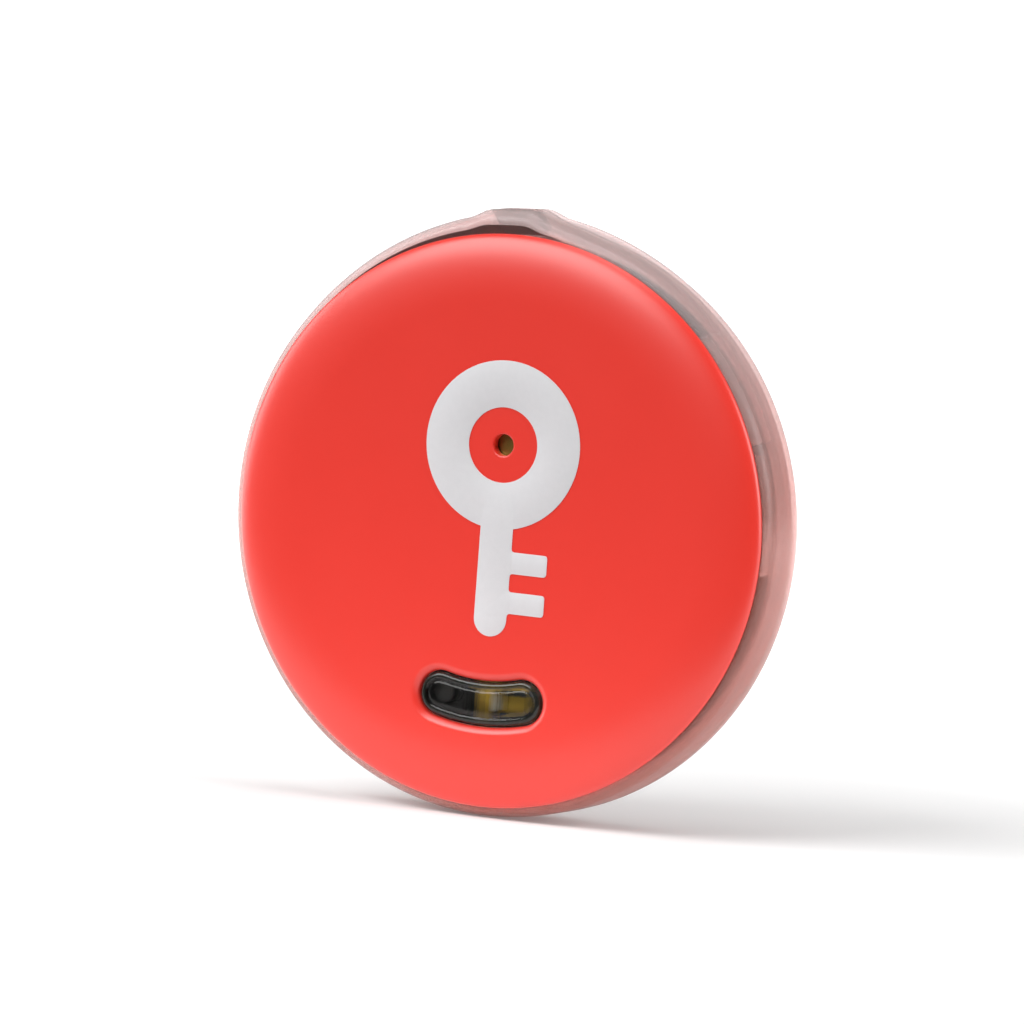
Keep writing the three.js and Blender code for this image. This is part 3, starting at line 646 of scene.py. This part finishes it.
brass = finish_of(
    "rolled_brass", (0.42, 0.30, 0.075), (0.30, 0.20, 0.05), cloud=0.5,
    roughness=0.36, drift=0.3, grain=0.09, height=5.0, Metallic=0.9,
)
foam = finish_of(
    "black_foam", (0.03, 0.03, 0.032), (0.06, 0.06, 0.062), cloud=0.15,
    roughness=0.9, drift=0.1, grain=0.12, height=40.0,
)
SOUND_X = 0.25
SOUND_Z = 3.4


def round_plate(node, ease=0.02, steps=128):
    """A turned disc in the place of a CAD node, with its two rims eased."""
    low, high = (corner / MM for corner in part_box(node))
    radius = (high.x - low.x) / 2
    bm = spun([
        (0, low.y), (radius - ease, low.y), (radius, low.y + ease),
        (radius, high.y - ease), (radius - ease, high.y), (0, high.y),
    ], steps)
    bmesh.ops.translate(bm, verts=bm.verts, vec=((low.x + high.x) / 2, 0, (low.z + high.z) / 2))
    return bm


finished(round_plate("piezo_plate"), "sounder_plate", [brass], "housing", ["piezo_plate"])
finished(
    round_plate("piezo_ceramic"), "sounder_ceramic", [white_ceramic],
    "housing", ["piezo_ceramic"],
)
ring_low, ring_high = (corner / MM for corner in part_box("piezo_adhesive"))
ring_radius = (ring_high.x - ring_low.x) / 2
adhesive = spun([
    (ring_radius - 1.0, ring_low.y), (ring_radius, ring_low.y),
    (ring_radius, ring_high.y), (ring_radius - 1.0, ring_high.y),
], 128, whole=True)
bmesh.ops.translate(adhesive, verts=adhesive.verts, vec=(SOUND_X, 0, SOUND_Z))
finished(adhesive, "sounder_adhesive", [foam], "housing", ["piezo_adhesive"])


def coil_spring(node, turns=3.5, wire=0.045):
    """A compression spring in the place of a CAD pillar, made as a round wire along a helix."""
    low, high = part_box(node)
    middle = (low + high) / 2
    radius = (high.x - low.x) / 2 - wire * MM
    curve = bpy.data.curves.new(node + "_wire", "CURVE")
    curve.dimensions = "3D"
    curve.bevel_depth = wire * MM
    curve.bevel_resolution = 3
    curve.use_fill_caps = True
    points = round(turns * 20) + 1
    spline = curve.splines.new("POLY")
    spline.points.add(points - 1)
    first, last = low.y + wire * MM, high.y - wire * MM
    for i, point in enumerate(spline.points):
        angle = i / 20 * math.tau
        y = first + (last - first) * i / (points - 1)
        point.co = (middle.x + radius * math.cos(angle), y, middle.z + radius * math.sin(angle), 1)
    holder = bpy.data.objects.new(node + "_curve", curve)
    bpy.context.scene.collection.objects.link(holder)
    bpy.context.view_layer.update()
    seen = holder.evaluated_get(bpy.context.evaluated_depsgraph_get())
    bm = bmesh.new()
    bm.from_mesh(seen.to_mesh())
    seen.to_mesh_clear()
    bpy.data.objects.remove(holder)
    bpy.data.curves.remove(curve)
    bmesh.ops.remove_doubles(bm, verts=bm.verts, dist=1e-7)
    bmesh.ops.recalc_face_normals(bm, faces=bm.faces)
    bmesh.ops.scale(bm, verts=bm.verts, vec=(1 / MM, 1 / MM, 1 / MM))
    return bm


for node in ("plate_spring", "ceramic_spring"):
    finished(coil_spring(node), node + "_coil", [gold], "housing", [node])

# ---------------------------------------------------------------------------------------------------
# Cell contacts. Two leaves of nickel-plated spring steel, bent and soldered to the back of the board:
# one lifts against the cell's cap, the other leans on the side of its can.

for node in ("contact_negative", "contact_positive"):
    finished(eased_copy(node, 0.03), node + "_leaf", [nickel], "housing", [node])

# ---------------------------------------------------------------------------------------------------
# Front cover. A crowned polycarbonate shell with a coral soft-touch coat, flat in the middle and falling
# away to the ring at its rim. It has an eased sound hole and a soft sunk lip round the button.

FACE_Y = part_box("front_cover")[0].y / MM
COVER_BACK_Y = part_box("front_cover")[1].y / MM
COVER_INNER_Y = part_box("piezo_adhesive")[0].y / MM
FLAT_RADIUS = 9.75
EDGE_LAND = 0.04
SKIRT_OUTER = BORE_RADIUS - 0.05
SKIRT_INNER = SKIRT_OUTER - 0.4
SOUND_RADIUS = 0.47
BUTTON_RADIUS = 8.0
BUTTON_WIDTH = 1.9
BUTTON_HALF = math.radians(14.2)
# (grow, depth) of the lip round the button, from the face inwards
LIP = [
    (0.40, 0.0), (0.36, 0.006), (0.31, 0.022), (0.25, 0.052),
    (0.19, 0.092), (0.13, 0.14), (0.09, 0.19), (0.06, 0.26),
]


def button_outline(grow, count=120):
    """Points along the button's outline, grown outwards and spaced evenly round it."""
    half = BUTTON_WIDTH / 2 + grow
    down = -math.pi / 2
    points = []
    shares = (0.34, 0.20, 0.26, 0.20)
    counts = [round(count * share) for share in shares]
    for part, steps in enumerate(counts):
        for i in range(steps):
            t = i / steps
            if part == 0:
                angle = down - BUTTON_HALF + 2 * BUTTON_HALF * t
                radius = BUTTON_RADIUS + half
                points.append((radius * math.cos(angle), radius * math.sin(angle)))
            elif part == 2:
                angle = down + BUTTON_HALF - 2 * BUTTON_HALF * t
                radius = BUTTON_RADIUS - half
                points.append((radius * math.cos(angle), radius * math.sin(angle)))
            else:
                tip = down + BUTTON_HALF * (1 if part == 1 else -1)
                turn = tip + math.pi * t + (0 if part == 1 else math.pi)
                points.append((
                    BUTTON_RADIUS * math.cos(tip) + half * math.cos(turn),
                    BUTTON_RADIUS * math.sin(tip) + half * math.sin(turn),
                ))
    return points


def add_loop(bm, outline, y):
    """A closed loop of edges at one y."""
    verts = [bm.verts.new((x, y, z)) for x, z in outline]
    return [bm.edges.new((verts[i - 1], verts[i])) for i in range(len(verts))]


def sound_circle(radius, count=64):
    """A circle about the sound hole."""
    return [
        (SOUND_X + radius * math.cos(math.tau * i / count), SOUND_Z + radius * math.sin(math.tau * i / count))
        for i in range(count)
    ]


def bridged(bm, loops):
    """Joins each loop to the next with a band of faces."""
    for one, other in zip(loops, loops[1:]):
        bmesh.ops.bridge_loops(bm, edges=one + other)


def filled(bm, edges, normal):
    """Fills the flat area between loops."""
    bmesh.ops.triangle_fill(bm, use_beauty=True, use_dissolve=False, edges=edges, normal=normal)


def rim_edges(bm, radius, y):
    """The edges of a turned body's open rim, by its radius and y."""
    return [
        e for e in bm.edges
        if e.is_boundary and all(
            abs(math.hypot(v.co.x, v.co.z) - radius) < 0.02 and abs(v.co.y - y) < 0.01 for v in e.verts
        )
    ]


cover = spun(
    [(FLAT_RADIUS - 0.12, FACE_Y), (FLAT_RADIUS - 0.06, FACE_Y)]
    + arc_points(
        (FLAT_RADIUS, RIM_Y - EDGE_LAND),
        (COVER_RADIUS - FLAT_RADIUS, FACE_Y - RIM_Y + EDGE_LAND), 90, 0, 40,
    )
    + [(COVER_RADIUS, RIM_Y - EDGE_LAND / 2), (COVER_RADIUS - 0.02, RIM_Y), (SKIRT_OUTER, RIM_Y)]
    + [(SKIRT_OUTER, COVER_BACK_Y - 0.05), (SKIRT_OUTER - 0.05, COVER_BACK_Y), (SKIRT_INNER, COVER_BACK_Y)]
    + [(SKIRT_INNER, COVER_INNER_Y), (FLAT_RADIUS - 0.12, COVER_INNER_Y)],
)
front_rim = rim_edges(cover, FLAT_RADIUS - 0.12, FACE_Y)
back_rim = rim_edges(cover, FLAT_RADIUS - 0.12, COVER_INNER_Y)
lip_loops = [add_loop(cover, button_outline(0.46), FACE_Y)]
lip_loops += [add_loop(cover, button_outline(grow), FACE_Y + sunk) for grow, sunk in LIP]
lip_loops.append(add_loop(cover, button_outline(0.06), COVER_INNER_Y))
hole_loops = [
    add_loop(cover, sound_circle(SOUND_RADIUS + 0.12), FACE_Y),
    add_loop(cover, sound_circle(SOUND_RADIUS + 0.08), FACE_Y),
    add_loop(cover, sound_circle(SOUND_RADIUS + 0.03), FACE_Y + 0.02),
    add_loop(cover, sound_circle(SOUND_RADIUS), FACE_Y + 0.08),
    add_loop(cover, sound_circle(SOUND_RADIUS), COVER_INNER_Y),
]
bridged(cover, lip_loops)
bridged(cover, hole_loops)
filled(cover, front_rim + lip_loops[0] + hole_loops[0], (0, -1, 0))
filled(cover, back_rim + lip_loops[-1] + hole_loops[-1], (0, 1, 0))
bmesh.ops.remove_doubles(cover, verts=cover.verts, dist=1e-5)
bmesh.ops.recalc_face_normals(cover, faces=cover.faces)

soft_touch = finish_of(
    "coral_soft_touch", (0.84, 0.032, 0.018), (0.81, 0.029, 0.016), cloud=4.0,
    roughness=0.38, drift=0.05, grain=0.035, height=1.6, Coat_Weight=0.9, Coat_Roughness=0.33,
    Sheen_Weight=0.15, Sheen_Roughness=0.4, Sheen_Tint=(1.0, 0.80, 0.76, 1), Specular_IOR_Level=0.4,
)
finished(cover, "cover_shell", [soft_touch], "housing", ["front_cover"], smooth_below=28.0)

# ---------------------------------------------------------------------------------------------------
# Printed symbol. One pass of white pad-printing ink on the cover: a plain house key whose ring goes
# round the sound hole. The ink lies a few hundredths proud, with crisp edges.

PRINT_FRONT_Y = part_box("front_symbol")[0].y / MM
BOW_RADIUS = 3.7
BOW_HOLE = 1.65
SHANK_HALF = 0.78
SHANK_END = -5.0
TOOTH_LENGTH = 1.75
TOOTH_WIDTH = 0.95
TOOTH_PITCH = 1.75
TOOTH_START = SHANK_END + SHANK_HALF + 0.3


def rounded_corner(points, radius, steps=5):
    """The outline with each listed corner rounded. A point is (x, z) or (x, z, True) for a corner."""
    result = []
    for i, point in enumerate(points):
        if len(point) == 2:
            result.append(point)
            continue
        here = Vector(point[:2])
        before = (Vector(points[i - 1][:2]) - here).normalized()
        after = (Vector(points[(i + 1) % len(points)][:2]) - here).normalized()
        for step in range(steps + 1):
            t = step / steps
            start, end = here + before * radius, here + after * radius
            bent = start.lerp(here, t).lerp(here.lerp(end, t), t)
            result.append((bent.x, bent.y))
    return result


def key_outline():
    join = math.asin(SHANK_HALF / BOW_RADIUS)
    bow_steps = 96
    points = []
    for i in range(bow_steps + 1):
        angle = -math.pi / 2 + join + (math.tau - 2 * join) * i / bow_steps
        points.append((SOUND_X + BOW_RADIUS * math.cos(angle), SOUND_Z + BOW_RADIUS * math.sin(angle)))
    for i in range(17):
        angle = math.pi + math.pi * i / 16
        along = SHANK_END + SHANK_HALF * (1 + math.sin(angle))
        points.append((SOUND_X + SHANK_HALF * math.cos(angle), along))
    right = SOUND_X + SHANK_HALF
    for tooth in range(2):
        low = TOOTH_START + tooth * TOOTH_PITCH
        points += [
            (right, low, True), (right + TOOTH_LENGTH, low, True),
            (right + TOOTH_LENGTH, low + TOOTH_WIDTH, True), (right, low + TOOTH_WIDTH, True),
        ]
    return rounded_corner(points, 0.16)


symbol = bmesh.new()
INK_EASE = 0.008
outer_loop = add_loop(symbol, key_outline(), PRINT_FRONT_Y)
inner_loop = add_loop(symbol, sound_circle(BOW_HOLE, 96), PRINT_FRONT_Y)
filled(symbol, outer_loop + inner_loop, (0, -1, 0))
skin = bmesh.ops.extrude_face_region(symbol, geom=symbol.faces[:])["geom"]
bmesh.ops.translate(
    symbol, verts=[v for v in skin if isinstance(v, bmesh.types.BMVert)], vec=(0, FACE_Y - PRINT_FRONT_Y, 0),
)
bmesh.ops.recalc_face_normals(symbol, faces=symbol.faces)
ease_edges(symbol, INK_EASE, lambda point: point.y < FACE_Y - INK_EASE, segments=2, least=60.0)
ink = finish_of(
    "white_ink", (0.69, 0.685, 0.70), (0.65, 0.645, 0.66), cloud=0.25,
    roughness=0.48, drift=0.1, grain=0.09, height=3.0,
)
finished(symbol, "symbol_print", [ink], "housing", ["front_symbol"])

# ---------------------------------------------------------------------------------------------------
# Button. A smoke-clear polycarbonate window, polished, with a raised middle and a dark rim moulded
# round it. Its flange is trapped behind the cover, and it pushes the switch's plunger behind it.

LENS_FRONT_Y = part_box("button_lens")[0].y / MM
LENS_BACK_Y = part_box("button_lens")[1].y / MM
FLANGE_FRONT_Y = LENS_BACK_Y - 0.2
lens = bmesh.new()
# (grow, y) from the back of the flange round the front to the raised middle
lens_steps = [
    (0.35, LENS_BACK_Y), (0.35, FLANGE_FRONT_Y), (0.0, FLANGE_FRONT_Y), (0.0, LENS_FRONT_Y + 0.22),
    (-0.02, LENS_FRONT_Y + 0.13), (-0.06, LENS_FRONT_Y + 0.06), (-0.12, LENS_FRONT_Y + 0.02),
    (-0.19, LENS_FRONT_Y + 0.005), (-0.26, LENS_FRONT_Y + 0.015), (-0.33, LENS_FRONT_Y + 0.05),
    (-0.38, LENS_FRONT_Y + 0.055), (-0.43, LENS_FRONT_Y + 0.03), (-0.48, LENS_FRONT_Y + 0.008),
    (-0.55, LENS_FRONT_Y),
]
lens_loops = [add_loop(lens, button_outline(grow), y) for grow, y in lens_steps]
bridged(lens, lens_loops)
filled(lens, lens_loops[0], (0, 1, 0))
filled(lens, lens_loops[-1], (0, -1, 0))
bmesh.ops.recalc_face_normals(lens, faces=lens.faces)


def from_button_middle(point):
    """How far a point is from the button's curved middle line."""
    angle = math.atan2(point.x, -point.z)
    bent = max(-BUTTON_HALF, min(BUTTON_HALF, angle))
    return math.hypot(point.x - BUTTON_RADIUS * math.sin(bent), point.z + BUTTON_RADIUS * math.cos(bent))


RIM_WIDTH = 0.25
for face in lens.faces:
    middle = face.calc_center_median()
    in_rim = from_button_middle(middle) > BUTTON_WIDTH / 2 - RIM_WIDTH and middle.y < FLANGE_FRONT_Y
    face.material_index = int(in_rim)
smoke_clear = finish_of(
    "smoke_clear_polycarbonate", (0.80, 0.80, 0.72), (0.72, 0.73, 0.66), cloud=3.0,
    roughness=0.03, drift=0.03, grain=0.4, height=1.0, Transmission_Weight=1.0, IOR=1.52, Alpha=0.55,
)
smoke_rim = finish_of(
    "smoke_rim", (0.030, 0.034, 0.028), (0.020, 0.024, 0.019), cloud=1.0,
    roughness=0.05, drift=0.05, grain=0.3, height=1.5, Transmission_Weight=0.5, IOR=1.52, Alpha=0.88,
)
finished(
    lens, "button_window", [smoke_clear, smoke_rim],
    "button", ["button_lens"], smooth_below=50.0,
)
finished(eased_copy("switch_plunger", 0.05), "plunger_pin", [epoxy], "button", ["switch_plunger"])

# ---------------------------------------------------------------------------------------------------
# Coin cell. A drawn nickel-plated steel can crimped over a black gasket, with the cap showing in the
# middle of its front. Both faces carry the faint rings of the press and of handling.


def turned_metal():
    """Nickel with fine rings about the middle of the tag, and scuffs."""
    made = finish_of(
        "drawn_nickel_steel", (0.60, 0.60, 0.60), (0.54, 0.54, 0.55), cloud=2.5,
        roughness=0.25, drift=0.16, grain=0.10, height=1.0, Metallic=1.0,
    )
    nodes, links = made.node_tree.nodes, made.node_tree.links
    place = nodes.new("ShaderNodeTexCoord")
    flat = nodes.new("ShaderNodeVectorMath")
    flat.operation = "MULTIPLY"
    flat.inputs[1].default_value = (1, 0, 1)
    links.new(place.outputs["Object"], flat.inputs[0])
    radius = nodes.new("ShaderNodeVectorMath")
    radius.operation = "LENGTH"
    links.new(flat.outputs["Vector"], radius.inputs[0])
    rings = nodes.new("ShaderNodeTexNoise")
    rings.noise_dimensions = "1D"
    rings.inputs["Scale"].default_value = 12 / MM
    rings.inputs["Detail"].default_value = 2.0
    links.new(radius.outputs["Value"], rings.inputs["W"])
    lift = nodes.new("ShaderNodeBump")
    lift.inputs["Distance"].default_value = 0.0012 * MM
    links.new(rings.outputs["Fac"], lift.inputs["Height"])
    surface = next(n for n in nodes if n.type == "GROUP" and n.node_tree == GRAIN)
    links.new(surface.outputs["Normal"], lift.inputs["Normal"])
    links.new(lift.outputs["Normal"], nodes["Principled BSDF"].inputs["Normal"])
    return made


drawn_steel = turned_metal()
CAN_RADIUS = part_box("cell_can")[1].x / MM
CAN_FRONT_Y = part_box("cell_can")[0].y / MM
CAN_WALL = 0.25
CAN_ROUND = 0.22
CRIMP_INNER = CAN_RADIUS - 0.5
can = spun(
    [(0, CELL_BACK_Y), (CAN_RADIUS - 1.6, CELL_BACK_Y), (CAN_RADIUS - 1.5, CELL_BACK_Y - 0.03)]
    + [(CAN_RADIUS - 1.4, CELL_BACK_Y), (CAN_RADIUS - CAN_ROUND - 0.05, CELL_BACK_Y)]
    + arc_points((CAN_RADIUS - CAN_ROUND, CELL_BACK_Y - CAN_ROUND), (CAN_ROUND, CAN_ROUND), 90, 0, 8)
    + arc_points((CAN_RADIUS - CAN_ROUND, CAN_FRONT_Y + CAN_ROUND), (CAN_ROUND, CAN_ROUND), 0, -90, 8)
    + [(CRIMP_INNER + 0.04, CAN_FRONT_Y), (CRIMP_INNER, CAN_FRONT_Y + 0.04)]
    + [(CRIMP_INNER, CAN_FRONT_Y + CAN_WALL)]
    + [(CAN_RADIUS - CAN_WALL, CAN_FRONT_Y + CAN_WALL), (CAN_RADIUS - CAN_WALL, CELL_BACK_Y - CAN_WALL)]
    + [(0, CELL_BACK_Y - CAN_WALL)],
    steps=192,
)
finished(can, "can_shell", [drawn_steel], "cell", ["cell_can"])
CAP_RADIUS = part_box("cell_cap")[1].x / MM
CAP_BACK_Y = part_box("cell_cap")[1].y / MM
cap = spun(
    [(0, CELL_FRONT_Y), (CAP_RADIUS - CAN_ROUND, CELL_FRONT_Y)]
    + arc_points((CAP_RADIUS - CAN_ROUND, CELL_FRONT_Y + CAN_ROUND), (CAN_ROUND, CAN_ROUND), -90, 0, 8)
    + [(CAP_RADIUS, CAP_BACK_Y), (0, CAP_BACK_Y)],
    steps=192,
)
finished(cap, "cap_shell", [drawn_steel], "cell", ["cell_cap"])
gasket_low, gasket_high = (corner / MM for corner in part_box("cell_gasket"))
gasket = spun([
    (CAP_RADIUS + 0.02, gasket_low.y + 0.03), (CAP_RADIUS + 0.05, gasket_low.y),
    (CRIMP_INNER - 0.05, gasket_low.y), (CRIMP_INNER - 0.02, gasket_low.y + 0.03),
    (CRIMP_INNER - 0.02, CAN_FRONT_Y + CAN_WALL + 0.02),
    (CAN_RADIUS - CAN_WALL - 0.02, CAN_FRONT_Y + CAN_WALL + 0.02),
    (CAN_RADIUS - CAN_WALL - 0.02, gasket_high.y), (CAP_RADIUS + 0.02, gasket_high.y),
], steps=192, whole=True)
finished(gasket, "gasket_ring", [rubber], "cell", ["cell_gasket"])

# ---------------------------------------------------------------------------------------------------
# Back cover. The same frosted rose moulding as the ring, crowned like a pebble with a flat middle. It
# snaps into the ring by a thin skirt, and its rim flares past the lug so that a nail can lift it.

BACK_FLAT = 8.6
BACK_RIM_Y = -2.3
FLANGE_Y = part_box("back_cover")[0].y / MM + 0.73
SKIRT_END_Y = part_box("back_cover")[0].y / MM
BACK_SKIRT_OUTER = BORE_RADIUS - 0.06
BACK_SKIRT_INNER = BACK_SKIRT_OUTER - 0.42
BACK_INNER_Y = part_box("cell_pad")[1].y / MM
back = spun(
    [(0, 0), (BACK_FLAT - 0.3, 0)]
    + arc_points((BACK_FLAT, BACK_RIM_Y), (BODY_RADIUS - BACK_FLAT, -BACK_RIM_Y), 90, 0, 40)
    + [(BODY_RADIUS, FLANGE_Y + 0.07)]
    + arc_points((BODY_RADIUS - 0.07, FLANGE_Y + 0.07), (0.07, 0.07), 0, -90, 4)
    + [(BACK_SKIRT_OUTER, FLANGE_Y), (BACK_SKIRT_OUTER, SKIRT_END_Y + 0.08)]
    + [(BACK_SKIRT_OUTER - 0.08, SKIRT_END_Y)]
    + [(BACK_SKIRT_INNER, SKIRT_END_Y), (BACK_SKIRT_INNER, BACK_INNER_Y - 0.35)]
    + [(BACK_SKIRT_INNER - 0.62, BACK_INNER_Y), (0, BACK_INNER_Y)],
)
with_lug(back, PRY_FADE)
back = cut_away(back, [slot_cutter()])
ease_edges(back, 0.05, near_slot)


def inside_back(point):
    return point.y < BACK_INNER_Y + 0.05 and math.hypot(point.x, point.z) < BACK_SKIRT_OUTER + 0.05


polish_inside(back, inside_back)
finished(back, "back_shell", [frosted, polished], "back_cover", ["back_cover"])

# ---------------------------------------------------------------------------------------------------
# Cell pad. A die-cut disc of dense black foam, stuck inside the back cover, that keeps the cell pressed
# on its contact.

finished(round_plate("cell_pad", 0.03), "pad_disc", [foam], "back_cover", ["cell_pad"])

# ---------------------------------------------------------------------------------------------------
# Stage. A white floor that the tag stands on, given a painted glow that grows away from the tag.
# Soft boxes above it and at both sides, a dimmer room in front, and a long lens turned a little to the right
# of the face and just above it.

FLOOR_DROP = 0.05 * MM
FLOOR_HALF = 1.5
FLOOR_FRONT = 0.027
floor_mesh = bmesh.new()
bmesh.ops.create_grid(floor_mesh, x_segments=1, y_segments=1, size=FLOOR_HALF)
bmesh.ops.translate(
    floor_mesh, verts=floor_mesh.verts, vec=(0, FLOOR_HALF - FLOOR_FRONT, -BODY_RADIUS * MM - FLOOR_DROP),
)
floor = to_object(floor_mesh, "studio_floor")


# Painted glow of the floor: its emission strength near the tag and far from it, and the distances over which
# it grows.
NEAR_GLOW = 0.13
FAR_GLOW = 1.15
GLOW_START = 0.03
GLOW_END = 0.12


def studio_paper_painted_glow():
    """White paper with a painted glow: its emission is weak near the tag and grows further out, so the floor
    is brighter away from the tag.
    """
    made = bpy.data.materials.new("studio_paper_painted_glow")
    made.use_nodes = True
    nodes, links = made.node_tree.nodes, made.node_tree.links
    shader = nodes["Principled BSDF"]
    shader.inputs["Base Color"].default_value = (0.9, 0.9, 0.9, 1)
    shader.inputs["Roughness"].default_value = 0.9
    shader.inputs["Specular IOR Level"].default_value = 0.1
    place = nodes.new("ShaderNodeTexCoord")
    away = nodes.new("ShaderNodeVectorMath")
    away.operation = "LENGTH"
    links.new(place.outputs["Object"], away.inputs[0])
    glow = nodes.new("ShaderNodeMapRange")
    glow.inputs["From Min"].default_value = GLOW_START
    glow.inputs["From Max"].default_value = GLOW_END
    glow.inputs["To Min"].default_value = NEAR_GLOW
    glow.inputs["To Max"].default_value = FAR_GLOW
    links.new(away.outputs["Value"], glow.inputs["Value"])
    shader.inputs["Emission Color"].default_value = (1, 1, 1, 1)
    links.new(glow.outputs["Result"], shader.inputs["Emission Strength"])
    return made


floor.data.materials.append(studio_paper_painted_glow())


def studio_world(seen, room):
    """White where the camera sees it, and the given strength where it lights the tag."""
    made = bpy.data.worlds.new("studio")
    made.use_nodes = True
    nodes, links = made.node_tree.nodes, made.node_tree.links
    background = nodes["Background"]
    background.inputs["Color"].default_value = (1, 1, 1, 1)
    path = nodes.new("ShaderNodeLightPath")
    strength = nodes.new("ShaderNodeMapRange")
    strength.inputs["To Min"].default_value = room
    strength.inputs["To Max"].default_value = seen
    links.new(path.outputs["Is Camera Ray"], strength.inputs["Value"])
    links.new(strength.outputs["Result"], background.inputs["Strength"])
    return made


bpy.context.scene.world = studio_world(seen=1.1, room=0.10)


def soft_box(name, azimuth, elevation, distance, width, height, radiance):
    """A soft box that faces the tag, placed by its direction as a camera is."""
    lamp = bpy.data.lights.new(name, "AREA")
    lamp.shape = "RECTANGLE"
    lamp.size = width
    lamp.size_y = height
    lamp.energy = radiance * 4 * width * height
    made = bpy.data.objects.new(name, lamp)
    bpy.context.scene.collection.objects.link(made)
    turn, rise = math.radians(azimuth), math.radians(elevation)
    made.location = Vector((
        math.sin(turn) * math.cos(rise), -math.cos(turn) * math.cos(rise), math.sin(rise),
    )) * distance
    made.rotation_euler = (-made.location).to_track_quat("-Z", "Y").to_euler()
    return made


# name, azimuth, elevation, distance, width, height, radiance
soft_box("overhead_box", 0, 88, 0.35, 0.16, 0.42, 1.6)
soft_box("top_box", -30, 38, 0.40, 0.34, 0.24, 4.6)
soft_box("left_box", -82, 14, 0.40, 0.22, 0.26, 2.4)
soft_box("right_box", 92, 20, 0.40, 0.26, 0.26, 4.0)

AZIMUTH = math.radians(25.0)
ELEVATION = math.radians(4.84)
ROLL = math.radians(4.31)
DISTANCE = 0.5
LENS_MM = 401.0
AIM_DEPTH = -3.0
AIM_LEFT = 0.235
AIM_UP = 0.32
to_camera = Vector((
    math.sin(AZIMUTH) * math.cos(ELEVATION), -math.cos(AZIMUTH) * math.cos(ELEVATION), math.sin(ELEVATION),
))
right = (-to_camera).cross(Vector((0, 0, 1))).normalized()
up = right.cross(-to_camera)
rolled_right = right * math.cos(ROLL) + up * math.sin(ROLL)
rolled_up = up * math.cos(ROLL) - right * math.sin(ROLL)
aim = Vector((0, AIM_DEPTH * MM, 0)) - rolled_right * AIM_LEFT * MM + rolled_up * AIM_UP * MM
eye = aim + to_camera * DISTANCE
camera_data = bpy.data.cameras.new("camera")
camera_data.lens = LENS_MM
camera_data.sensor_width = 36.0
camera_data.clip_start = 0.01
camera_data.clip_end = 20.0
camera = bpy.data.objects.new("camera", camera_data)
bpy.context.scene.collection.objects.link(camera)
facing = Matrix((rolled_right, rolled_up, to_camera)).transposed().to_4x4()
camera.matrix_world = Matrix.Translation(eye) @ facing
bpy.context.scene.camera = camera
bpy.context.scene.view_settings.view_transform = "Standard"
